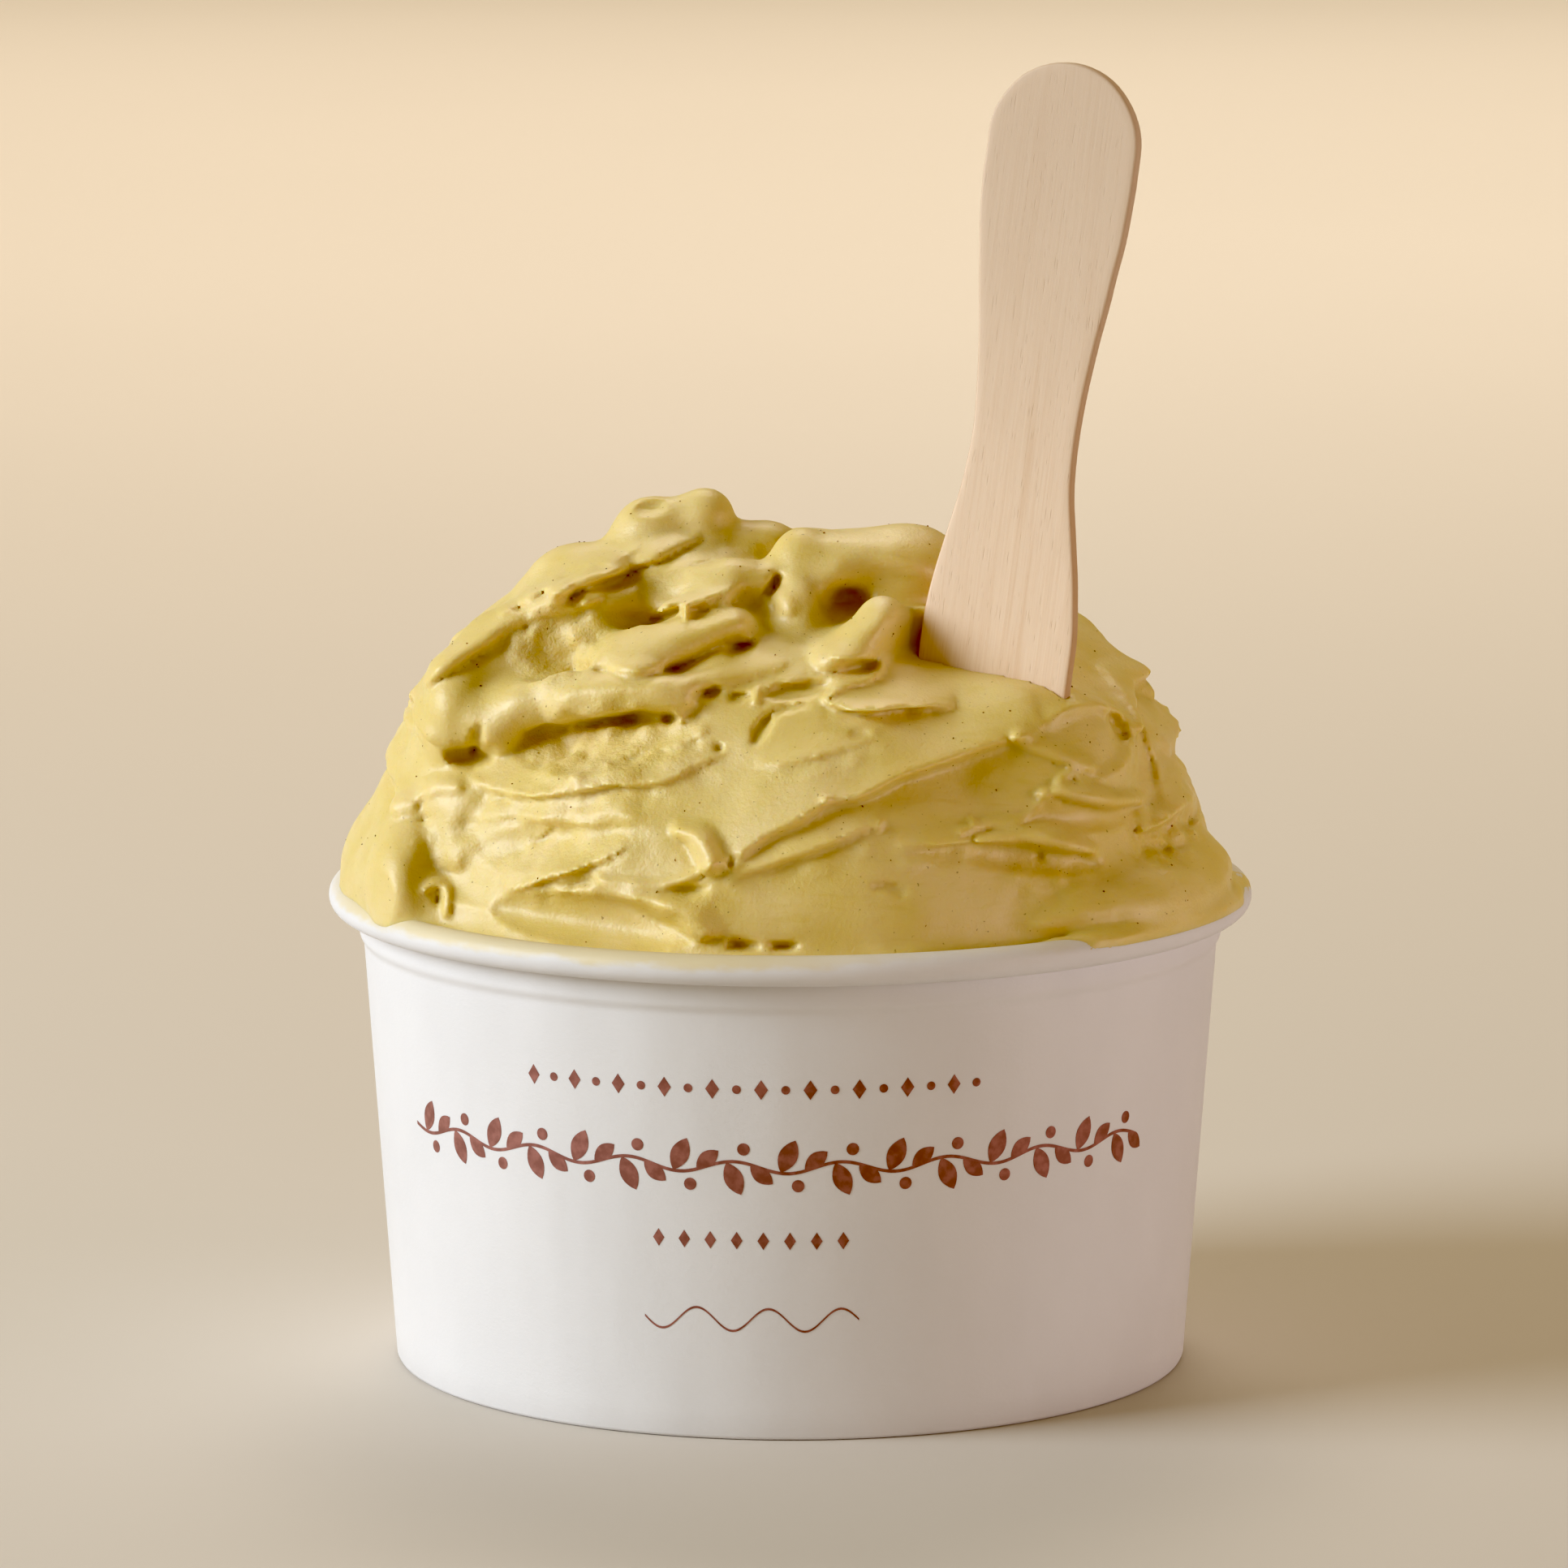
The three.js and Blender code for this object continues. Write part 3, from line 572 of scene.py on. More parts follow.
def wood_finish(colours, spoon):
    """Pale birch: fine long grain, faint streaks and pores, browner cut edges that are partly the wood's own
    tone and partly painted shade on the sides, and painted shade that darkens the wood towards the spoon's
    upper end, where the light falls off.
    """
    finish = Finish("pale_birch")
    # edge is 1 on the cut sides, which are painted browner: partly the cut wood's own tone, partly painted
    # shade of the side faces
    edge = finish.node("ShaderNodeAttribute", {"attribute_name": "edge"}, output="Fac")
    # painted shade: the wood turns darker with height, standing in for light that falls off towards the
    # spoon's upper end
    painted_top_shade = finish.split(finish.place)[2].ramp(0.07, 0.125)
    turn = spoon_pose(spoon).to_euler()
    fine = finish.noise(finish.scaled(0.22 * MM, 0.5 * MM, 9 * MM, turn), detail=3, roughness=0.6)
    broad = finish.noise(finish.scaled(1.6 * MM, 2 * MM, 34 * MM, turn), detail=2, distortion=0.3)
    pores = finish.noise(finish.scaled(0.14 * MM, 0.4 * MM, 2.4 * MM, turn), detail=1)
    cloud = finish.noise(finish.scaled(5 * MM, 5 * MM, 12 * MM, turn), detail=2)
    pore = pores.ramp(0.64, 0.76)
    wood, streak, brown = colours.wood, colours.wood_streak, tint(colours.wood_streak, 0.8)
    mixed = finish.blend(fine.ramp(0.35, 0.75) * 0.22 + broad.ramp(0.5, 0.8) * 0.3, wood, streak)
    mottled = finish.blend(cloud.ramp(0.45, 0.8) * 0.3, mixed, tint(wood, 1.08))
    # the cut sides turn brown here, partly wood tone and partly painted shade
    browned = finish.blend(edge * 0.8, finish.blend(pore * 0.35, mottled, brown), brown)
    # painted shade: blends towards a darker wood high on the spoon
    shaded = finish.blend(painted_top_shade * 0.75, browned, tint(wood, 0.74))
    relief = finish.bump(fine * 0.7 - pore * 0.6, 0.04 * MM, 0.7)
    return finish.done(
        Base_Color=shaded, Roughness=0.62 + 0.12 * fine, Normal=relief, Specular_IOR_Level=0.3,
        Subsurface_Weight=0.08, Subsurface_Radius=(1.0, 0.7, 0.4), Subsurface_Scale=0.5 * MM,
    )


# ---- the gelato's form: the distance to its surface on a lattice, in millimetres ----

VIEW_DISTANCE = 800  # strokes are painted as they are seen from this far away and this far over the rim
VIEW_UP = 139.7
FORM_LOW, FORM_HIGH = (-46, -46, -9), (46, 46, 41)  # the space that the form is worked out in
SEAT = 0.12  # how far the gelato reaches into the paper, so that no gap shows
# Over how wide a stretch each of these melts into the rest.
MELT = {"lump": 4, "knob": 2, "hollow": 1.8, "bump": 1.4, "spill": 4, "filling": 3, "film": 1, "notch": 1}


def smooth_union(a, b, melt):
    """The join of two forms, rounded where they meet over about "melt"."""
    h = np.maximum(melt - np.abs(a - b), 0) / melt
    return np.minimum(a, b) - h * h * melt * 0.25


def smooth_cut(a, b, melt):
    return -smooth_union(-a, b, melt)


class Form:
    """A form in a box of space. "value" is the distance to its surface, negative inside, and "torn" is 1
    where the surface is rough."""

    def __init__(self, low, high, cell, seed):
        self.low, self.cell, self.seed = np.array(low, float), cell, seed
        counts = np.ceil((np.array(high) - self.low) / cell).astype(int) + 1
        self.axes = [(a + cell * np.arange(n)).astype(np.float32) for a, n in zip(self.low, counts)]
        self.value = np.full(counts, 1e3, np.float32)
        self.torn = np.zeros(counts, np.float32)

    def block(self, low, high):
        """The slices of the lattice between two corners, and their x, y and up."""
        first = np.maximum(np.floor((np.array(low) - self.low) / self.cell).astype(int), 0)
        last = np.maximum(np.ceil((np.array(high) - self.low) / self.cell).astype(int) + 1, first)
        where = tuple(slice(a, b) for a, b in zip(first, last))
        return where, np.meshgrid(*(axis[w] for axis, w in zip(self.axes, where)), indexing="ij", sparse=True)

    def everywhere(self):
        return np.meshgrid(*self.axes, indexing="ij", sparse=True)

    def at(self, points, values):
        """The values at any points, read between those of the lattice."""
        place = np.clip((points - self.low) / self.cell, 0, np.array(values.shape) - 1.001)
        corner = place.astype(int)
        part = place - corner
        total = 0
        for step in np.ndindex(2, 2, 2):
            weight = np.prod(np.where(step, part, 1 - part), axis=1)
            total = total + weight * values[tuple((corner + step).T)]
        return total

    def cloud(self, spacing, seed):
        """A smooth random field of about unit height over the whole lattice, with bumps "spacing" apart."""
        random = np.random.default_rng(1000 * self.seed + seed)
        counts = [int(len(axis) * self.cell / spacing) + 5 for axis in self.axes]
        field = random.standard_normal(counts).astype(np.float32)
        for i, axis in enumerate(self.axes):
            place = np.arange(len(axis)) * self.cell / spacing
            first = place.astype(int)
            t = place - first
            weights = np.zeros((len(axis), field.shape[i]), np.float32)
            spline = [(1 - t) ** 3, 3 * t**3 - 6 * t**2 + 4, -3 * t**3 + 3 * t**2 + 3 * t + 1, t**3]
            for k, weight in enumerate(spline):
                weights[np.arange(len(axis)), first + k] = weight / 6
            field = np.moveaxis(np.tensordot(weights, field, (1, i)), 0, i)
        return 3 * field

    def lump(self, x, y, up, rx, ry, rz, melt, dig=False):
        """Adds an ellipsoid, or takes it away."""
        axes = self.everywhere()
        parts = [(axis - middle) / radius for axis, middle, radius in zip(axes, (x, y, up), (rx, ry, rz))]
        scaled = np.sqrt(sum(part**2 for part in parts))
        slope = np.sqrt(sum((part / radius) ** 2 for part, radius in zip(parts, (rx, ry, rz))))
        distance = scaled * (scaled - 1) / np.maximum(slope, 1e-9)
        join = smooth_cut if dig else smooth_union
        self.value = join(self.value, distance.astype(np.float32), melt)

    def skin(self):
        """The surface as points and four-sided faces: one point in each cell that the surface crosses."""
        inside = self.value < 0
        cells = np.array(self.value.shape) - 1
        stride = np.array([cells[1] * cells[2], cells[2], 1])
        ids, places, quads = [], [], []
        for axis in range(3):
            b, c = (axis + 1) % 3, (axis + 2) % 3
            low = [slice(None)] * 3
            high = [slice(None)] * 3
            low[axis], high[axis] = slice(None, -1), slice(1, None)
            low, high = tuple(low), tuple(high)
            edge = np.argwhere(inside[low] != inside[high])
            beside = edge[:, [b, c]]
            edge = edge[np.all((beside > 0) & (beside < cells[[b, c]]), axis=1)]
            first, second = self.value[low][tuple(edge.T)], self.value[high][tuple(edge.T)]
            point = edge.astype(float)
            point[:, axis] += first / (first - second)
            around = []
            for back_b, back_c in ((1, 1), (0, 1), (0, 0), (1, 0)):
                cell = edge.copy()
                cell[:, b] -= back_b
                cell[:, c] -= back_c
                around.append(cell @ stride)
                ids.append(around[-1])
                places.append(point)
            quad = np.column_stack(around)
            quads.append(np.where((first < 0)[:, None], quad, quad[:, ::-1]))
        ids, places, quads = np.concatenate(ids), np.vstack(places), np.vstack(quads)
        used, number = np.unique(ids, return_inverse=True)
        count = np.bincount(number)
        points = np.column_stack([np.bincount(number, places[:, i]) / count for i in range(3)])
        return self.low + points * self.cell, np.searchsorted(used, quads)


class View:
    """A form's surface as it is seen from "turn" degrees round the cup. Strokes are painted on it at spots
    (across, up) of the upright plane through the cup's axis, and push the surface in or out."""

    def __init__(self, form, turn):
        index = np.flatnonzero(np.abs(form.value) < 7)
        i, j, k = np.unravel_index(index, form.value.shape)
        x, y, up = form.axes[0][i], form.axes[1][j], form.axes[2][k]
        c, s = math.cos(math.radians(turn)), math.sin(math.radians(turn))
        depth = y * c - x * s
        front = depth < 8
        sight = VIEW_DISTANCE / (VIEW_DISTANCE + depth[front])
        self.index = index[front]
        self.across = (x[front] * c + y[front] * s) * sight
        self.up = VIEW_UP + (up[front] - VIEW_UP) * sight
        self.strength = 1 - smooth((depth[front] + 1) / 9)
        self.value, self.torn = form.value.reshape(-1), form.torn.reshape(-1)
        self.strokes = 0

    def near(self, spots, reach):
        """The points that are seen near the next stroke's spots."""
        self.strokes += 1
        (left, low), (right, high) = spots.min(0) - reach, spots.max(0) + reach
        level = (self.up > low) & (self.up < high)
        return np.flatnonzero((self.across > left) & (self.across < right) & level)

    def along(self, spots, sizes, reach, bow=0.0, waver=0.0, lean=0.0):
        """For points near a stroke: how far off it they are, how far along it, how far to its left, its size
        there, and its length. "waver" makes it uneven, and "lean" lets what stands out hang down."""
        curve, marks = smooth_curve(np.array(spots, float), bow)
        run = np.concatenate([[0], np.cumsum(np.linalg.norm(np.diff(curve, axis=0), axis=1))])
        even = np.linspace(0, run[-1], max(4, int(run[-1] / 0.6)) + 1)
        marks = run[marks] if len(sizes) == len(marks) else run[[0, -1]]
        size = np.interp(even, marks, sizes)
        curve = np.column_stack([np.interp(even, run, curve[:, i]) for i in (0, 1)])
        phase = np.random.default_rng(self.strokes).uniform(0, 2 * math.pi, 3)
        curve[:, 1] += waver * (np.sin(even / 1.9 + phase[0]) + 0.7 * np.sin(even / 0.7 + phase[1])) / 1.7
        curve[:, 0] += waver * 0.5 * np.sin(even / 1.3 + phase[2])
        picked = self.near(curve, reach)
        index = self.index[picked]
        x, y = self.across[picked], self.up[picked] + lean * np.clip(self.value[index], 0, 3)
        best, t, side = np.full(x.shape, 1e6), np.zeros(x.shape), np.zeros(x.shape)
        share = even / run[-1]
        for i in range(len(even) - 1):
            (ax, ay), (sx, sy) = curve[i], curve[i + 1] - curve[i]
            length = max(math.hypot(sx, sy), 1e-6)
            dx, dy = x - ax, y - ay
            s = np.clip((dx * sx + dy * sy) / length**2, 0, 1)
            dx, dy = dx - s * sx, dy - s * sy
            off = dx * dx + dy * dy
            closer = off < best
            best = np.where(closer, off, best)
            t = np.where(closer, share[i] + s * (share[i + 1] - share[i]), t)
            side = np.where(closer, (dy * sx - dx * sy) / length, side)
        return picked, np.sqrt(best), t, side, np.interp(t, share, size), run[-1]

    def push(self, picked, height):
        """Raises the surface, or lowers it."""
        self.value[self.index[picked]] -= height * self.strength[picked]

    def tear(self, picked, amount):
        """Makes the surface torn."""
        where = self.index[picked]
        self.torn[where] = np.maximum(self.torn[where], amount)

    def lobe(self, spots, sizes, rise, soft=1.4, tuck=0.0, lumpy=0.0, lean=0.1, **more):
        """A round fold, "sizes" wide on its right, where it ends in a lip with a groove "tuck" deep under it,
        and "soft" times as wide on its left, where it runs out."""
        reach = max(sizes) * soft + 1
        picked, off, t, side, size, length = self.along(spots, sizes, reach, lean=lean, **more)
        way = t * length
        size = size * (1 + lumpy * (np.sin(way / 0.9) + np.sin(way / 1.7 + 2) + np.sin(way / 0.53 + 1)))
        easy = smooth((side / np.maximum(off, 1e-6) + 0.2) / 0.8)
        q = np.clip(off / (size * (1 + (soft - 1) * easy)), 0, 1)
        lip, run_out = (1 - q * q) ** 0.9, np.cos(q * math.pi / 2) ** 1.6
        height = rise * size / max(sizes) * (lip + (run_out - lip) * easy)
        under = np.exp(-(((off - size - 0.2) / 0.55) ** 2)) * (1 - easy) * swell(t, 0.4)
        self.push(picked, np.where(q < 1, height, 0) - tuck * under)

    def ledge(self, spots, rise, width, drop=0.6, rough=0.3, fade=0.5, lean=0.15, **more):
        """Raises the surface over "width" to a crest, and drops to the right of it, where it is torn."""
        picked, _, t, side, _, _ = self.along(spots, (0, 0), width + 1, lean=lean, **more)
        back = (1 - np.clip(side / width, 0, 1)) ** 2
        front = (1 - smooth(-side / drop)) ** 2
        along = swell(t, fade)
        self.push(picked, rise * np.where(side > 0, back, front) * along)
        below = smooth((side + 2.4 * drop + 1) / drop) * smooth(-side / (0.5 * drop))
        self.tear(picked, rough * below * along)

    def channel(self, spots, sizes, depth, fade=0.5, **more):
        """Cuts a crack that runs out at both ends."""
        picked, off, t, _, size, _ = self.along(spots, sizes, max(sizes) + 0.5, **more)
        q = np.clip(off / size, 0, 1)
        self.push(picked, -depth * np.sqrt(1 - q * q) * swell(t, fade))

    def pit(self, at, length, width, depth, tilt=0.0, steep=0.7, ragged=0.0):
        """Presses in an ellipse, long along "tilt" degrees."""
        picked = self.near(np.array([at], float), max(length, width) * 0.7)
        x, y = self.across[picked] - at[0], self.up[picked] - at[1]
        c, s = math.cos(math.radians(tilt)), math.sin(math.radians(tilt))
        x, y = (x * c + y * s) * 2 / length, (y * c - x * s) * 2 / width
        angle = np.arctan2(y, x)
        waves = np.sin(3 * angle + at[0]) + 0.7 * np.sin(7 * angle + at[1]) + 0.5 * np.sin(12 * angle)
        q = np.clip(np.sqrt(x * x + y * y) / (1 + ragged * waves), 0, 1)
        self.push(picked, -depth * (1 - q * q) ** steep)

    def comb(self, spots, width, depth, spacing, seed):
        """Draws fine lines along a stroke, over its width."""
        picked, _, t, side, _, _ = self.along(spots, (0, 0), width)
        knots = np.arange(-width, width + spacing, spacing)
        lines = np.interp(side, knots, np.random.default_rng(seed).uniform(-1, 1, len(knots)))
        window = smooth((width - np.abs(side)) / (0.4 * width)) * swell(t, 0.4)
        self.push(picked, depth * lines * window)

    def patch(self, at, size, amount):
        """Makes a round area torn."""
        picked = self.near(np.array([at], float), size)
        away = np.hypot(self.across[picked] - at[0], self.up[picked] - at[1])
        self.tear(picked, amount * smooth(2 * (1 - away / size)) * self.strength[picked])


def swell(t, power):
    """0 at both ends of a stroke and 1 half-way along it."""
    return np.maximum(4 * t * (1 - t), 0) ** power


def smooth_curve(spots, bow):
    """A smooth curve through the spots, or a bowed one between two, and where the spots are on it."""
    if len(spots) == 2:
        way = spots[1] - spots[0]
        left = np.array([-way[1], way[0]]) / np.linalg.norm(way)
        t = np.linspace(0, 1, 17)[:, None]
        return spots[0] + t * way + 4 * t * (1 - t) * bow * left, [0, 16]
    ends = np.vstack([2 * spots[0] - spots[1], spots, 2 * spots[-1] - spots[-2]])
    curve = []
    for a, b, c, d in zip(ends, ends[1:], ends[2:], ends[3:]):
        t = np.linspace(0, 1, 9)[:-1, None]
        point = 2 * b + (c - a) * t
        point = point + (2 * a - 5 * b + 4 * c - d) * t**2 + (3 * b - a - 3 * c + d) * t**3
        curve.append(0.5 * point)
    return np.vstack([*curve, spots[-1:]]), list(range(0, 8 * len(spots), 8))


# ---- how the gelato was worked ----

# Lumps, here and below: centre (x, y, up) and half sizes.
LUMPS = [
    (0, 0.5, -2, 41.2, 40.8, 32.5),  # the heap
    (20, 1, 13, 14, 21, 12),  # right shoulder
    (21.5, -20.5, 10.8, 10.5, 10, 12.6),  # the fold in front of the blade
    (-19, -1, 18, 11.5, 15, 11),  # left shoulder
    (-19.5, -3, 26, 5.8, 6.5, 6.4),  # the top of the left shoulder
    (-31.5, -8, 14, 4.2, 9, 6.5),  # lobe at the left edge
    (-9, -1, 27, 8.4, 9, 7.2),  # under the peak
    (7.5, -1, 24.6, 11.5, 11, 8),  # top lobe on the right
    (0, 14, 20, 20, 16, 11.5),  # the heap's back
    (-36.5, -11, 2.2, 4.4, 14, 7.6),  # low left bulge
]

# Smaller lumps that keep more of their own shape: first the peak.
KNOBS = [
    (-8.5, -2.5, 35.3, 2.8, 3.4, 2.9),
    (-13.2, -2.5, 34.3, 3.5, 3.6, 3.0),
    (-15.2, -3.6, 32.4, 2.2, 2.4, 1.9),
    (-3.4, -1.5, 32.6, 3.6, 3.4, 2.0),
    (-20, -4.5, 30.2, 3.4, 4, 2.4),
    (0.9, -10.5, 30.0, 3.6, 4.6, 5.0),  # column under the hood
    (0.8, -14.5, 27.2, 3.0, 3.8, 4.4),
    (9.8, -7.2, 31.4, 6.6, 7.0, 4.0),  # hood
    (4.6, -8.6, 31.0, 4.8, 6.4, 3.8),
    (-4, -12.5, 28.6, 3.8, 3.5, 3.0),  # right end of the sheet
    (-31.4, -15.2, 18.0, 3.7, 5.2, 4.7),  # left lobe
    (-30.2, -14.2, 21.6, 3.2, 3.0, 2.4),
    (-27.6, -10.8, 24.4, 3.6, 4.6, 2.7),
    (-22.8, -12, 24.6, 4.6, 4.4, 3.2),  # the rough patch
    (-27, -12.5, 22.8, 4.0, 4.0, 2.6),
    (-25.5, -14.6, 21.2, 4.4, 3.4, 2.6),
    (-19, -13.4, 27, 3.0, 3.2, 2.2),
    (-30.4, -9, 19.6, 4.2, 6.0, 3.8),
    (-28, -17.6, 17.2, 3.1, 3.4, 3.1),  # lower roll
    (-23.4, -19.8, 19.9, 3.8, 3.0, 2.5),
    (-18.8, -22.4, 21.0, 3.8, 2.8, 2.4),
    (-14.4, -24.4, 21.7, 3.4, 2.4, 2.0),
    (-11, -25.8, 21.6, 2.4, 1.8, 1.5),
    (-18.2, -16.8, 23.9, 2.4, 2.4, 1.3),  # upper roll
    (-15, -19.2, 24.1, 3.4, 3.5, 2.6),
    (-11, -19.2, 25.3, 3.3, 3.2, 2.2),
    (-7.2, -18, 26.7, 2.9, 2.8, 1.7),
    (-5, -17.2, 27.2, 1.7, 2.4, 1.5),
]

# Hollows between them.
DIGS = [
    (8.8, -16.2, 30.6, 3.8, 3.2, 1.9),
    (5.8, -15.6, 28.9, 1.9, 4.8, 1.2),
    (12.8, -16.6, 29.9, 3.6, 3.0, 1.2),
]

# What stands in front of the hollows.
NOSE = [
    (8.9, -18.2, 27.5, 2.9, 2.8, 2.9),
    (12.9, -17.0, 27.0, 3.8, 3.2, 2.0),
    (7.2, -19.4, 25.4, 3.2, 3.2, 2.6),
    (4.8, -20.8, 23.2, 3.0, 2.8, 2.2),
]

# What has run out over the rim: bearing and spread in degrees, up, distance from the axis and size.
SPILLS = [(-26, 42, 1.2, 41.4, 3.3), (186, 44, 1.6, 40.4, 2.5)]

# How far over the roll the melted film reaches, as an angle round the roll's section, by bearing on the cup.
FILM_REACH = {
    -180: -40, -58: -40, -50: 62, -40: 84, -24: 88, -14: 66, -4: 0,
    20: -20, 60: 30, 100: -20, 150: 0, 180: -40,
}
FILM_THICK = 0.36

# The notch that the blade made, along the spoon's own axes: its middle, over the sunk length, and half sizes.
NOTCH_MIDDLE = (0, -9, 11)
NOTCH_HALF = (7.2, 8.0, 9.2)
NOTCH_ROUNDING = 1.7


def work_hood(view):
    """The hood's left edge."""
    view.lobe([(3.6, 21.9), (6.4, 23), (8.8, 24.6)], (2.0, 2.4, 2.4), rise=1.6, soft=1.2)


def work_sheet(view):
    """The broad sheet under the peak, the wing's top and the hollow for the rough patch."""
    view.lobe(
        [(-19.6, 27.2), (-12.6, 28.4), (-6, 29.9), (-3, 29.5)],
        (1.2, 3.4, 3.2, 1.8), rise=1.5, soft=1.6,
    )
    view.lobe([(-25, 27.6), (-21, 29.2), (-17.4, 30.6)], (1.8, 2.2, 2.0), rise=1.2, soft=1.0)
    view.pit((-22, 23.3), length=8, width=4.6, depth=0.5, tilt=16, steep=1.2)


def work_rolls(view):
    """The lower big roll with the pressed surface under it, then the upper one."""
    view.pit((-18, 13), length=18, width=6, depth=1.8, tilt=8, steep=1.0)
    view.lobe(
        [(-28.7, 14.7), (-27, 16.4), (-23, 17.4), (-18, 18.1), (-13.6, 18.2), (-10.6, 17.6)],
        (2.8, 3.0, 2.8, 2.6, 2.3, 1.6), rise=1.6, soft=1.35, tuck=0.5, lumpy=0.03, waver=0.08, lean=0.15,
    )
    view.lobe([(-10.6, 18.6), (-7, 19.8), (-1, 20.6)], (0.5, 1.7, 0.6), rise=0.9, soft=2)
    view.lobe(
        [
            (-19.4, 21.2), (-17.4, 21.7), (-15.1, 21.9), (-12.4, 22.6), (-10, 23.4), (-7.6, 24.3),
            (-5.2, 25),
        ],
        (0.9, 1.9, 2.5, 2.4, 2.1, 1.8, 1.6), rise=1.4, soft=1.0, tuck=0.5, lean=0.1,
    )


def work_flap(view):
    """The long flap, and the ridges over it."""
    view.lobe(
        [
            (-35.4, 19.0), (-34.2, 20.4), (-32.5, 21.7), (-29.6, 23.5), (-27, 25.2), (-24, 26.3),
            (-20.8, 26.8), (-18.2, 27.6),
        ],
        (0.6, 1.1, 1.2, 1.2, 1.1, 1.0, 1.0, 0.4), rise=1.3, soft=1.7, lean=0.1, waver=0.12,
    )
    view.lobe(
        [(-23, 28), (-20.3, 29), (-16.2, 30.7), (-13, 31.9), (-9.2, 33.1)],
        (0.6, 1.0, 1.1, 1.1, 0.4), rise=1.3, soft=2.2, tuck=0.2, lean=0.1, waver=0.12,
    )
    view.lobe([(-22.6, 28.1), (-22.2, 28.2)], (1.2, 1.2), rise=0.9, soft=1.0)
    view.ledge([(-10.2, 26.3), (-7.2, 27.5), (-4.4, 29.2)], rise=0.3, width=2.4, drop=0.7, waver=0.16)
    view.lobe(
        [(-28, 26), (-26, 27.3), (-23.8, 28.8), (-22.4, 29.8)],
        (0.5, 0.8, 0.8, 0.5), rise=0.9, soft=1.4, waver=0.1,
    )
    view.lobe([(-19.6, 30.6), (-17, 31.2), (-15, 32.2)], (0.4, 0.6, 0.4), rise=0.6, soft=1.3, waver=0.1)
    view.ledge([(-18, 28.6), (-13, 29.9), (-7, 31.6)], rise=0.35, width=1.6, drop=0.7, waver=0.1)


def work_middle(view):
    """The ledges that cross the middle."""
    view.ledge(
        [
            (-6.2, 0.4), (-5.1, 2.1), (-2.8, 4), (0.5, 5.7), (3.6, 7.6), (6.7, 8.2), (10.8, 10.2),
            (15.1, 11.7), (19.5, 13.2), (24.7, 14.7),
        ],
        rise=2.3, width=7, drop=1.6, waver=0.05, rough=0.1,
    )
    view.ledge(
        [
            (24.2, 14.6), (26.7, 16.5), (29.9, 17.1), (32.4, 16.1), (33.5, 14), (33.1, 11.7),
            (31.7, 9.9), (29.4, 9.3),
        ],
        rise=1.1, width=2.6, drop=2.2, rough=0.0,
    )
    view.lobe([(22.4, 13.4), (26.2, 11.9), (29.3, 10.6)], (1.0, 1.0, 0.6), rise=1.1, soft=1.5)
    view.ledge(
        [(-6.4, -0.4), (-3.9, 0.6), (0.5, 2.1), (4.7, 3.6), (6.4, 4.5), (9, 5.4)],
        rise=1.3, width=4, drop=1.1, waver=0.05,
    )
    view.ledge(
        [
            (-31.3, 10), (-29.6, 8.8), (-25.7, 8), (-21.3, 8.4), (-17.4, 9.1), (-12.9, 9.3),
            (-9.5, 10.8), (-6.2, 12.3),
        ],
        rise=1.1, width=3, drop=0.8, waver=0.05,
    )
    view.ledge([(-20.8, 10.7), (-17.7, 11.2), (-13.5, 13)], rise=0.6, width=1.5, drop=0.6, waver=0.08)
    view.ledge([(-14.4, 12.2), (-11, 12.9), (-8, 14.4)], rise=0.6, width=1.5, drop=0.6, waver=0.08)
    view.ledge(
        [(-3.4, 10.8), (-1.5, 11), (1.5, 11.6), (4.2, 12.3), (7.4, 13.4), (8.6, 14.4)],
        rise=0.7, width=2.6, drop=0.6, waver=0.05,
    )
    view.ledge(
        [(3.2, 17.2), (5.6, 16.6), (7.4, 16.4), (9.8, 16.7), (12.3, 16.9), (16, 16.7)],
        rise=1.8, width=3.2, drop=0.7, waver=0.06, lean=0.15,
    )
    view.ledge([(3.6, 21.2), (5.6, 21.6), (8.8, 21.4)], rise=0.8, width=2, drop=0.6, waver=0.12)
    view.pit((-22, 3.2), length=17, width=5.4, depth=1.0, tilt=8, steep=1.0)
    view.ledge(
        [(-31, 5.6), (-26.9, 6), (-22.9, 5.3), (-18.6, 5.2), (-14.6, 5.8)],
        rise=0.5, width=2.4, drop=0.9, waver=0.1,
    )
    view.ledge(
        [(-28, -1.5), (-25.7, -0.9), (-22.9, 0), (-20.1, 0.9), (-17.9, 2), (-15.8, 3)],
        rise=1.0, width=3, drop=0.7, waver=0.12,
    )


def work_low(view):
    """The low swath, and what hangs over it."""
    view.pit((-18.9, -4.6), length=21, width=5.4, depth=2.0, tilt=-7, steep=0.9)
    view.lobe(
        [(-18.6, -0.7), (-16.6, -1.7), (-13.8, -2.7), (-10.6, -4), (-8.6, -5.6)],
        (0.5, 0.9, 1.1, 1.2, 1.1), rise=1.7, soft=2.4, tuck=0.5, lumpy=0.05, waver=0.1, lean=0.15,
    )
    view.pit((-10.4, -1.7), length=5.2, width=1.5, depth=1.0, tilt=6)
    view.lobe([(-10.8, 4.5), (-8.8, 3.7), (-7.6, 1.2)], (1.0, 1.6, 1.5), rise=2.0, soft=1.2, tuck=0.2)
    view.lobe(
        [(-18.4, -0.6), (-12.9, -0.9), (-9.8, -0.2), (-7.9, 0.9)],
        (0.4, 0.5, 0.55, 0.5), rise=0.7, soft=1.6,
    )


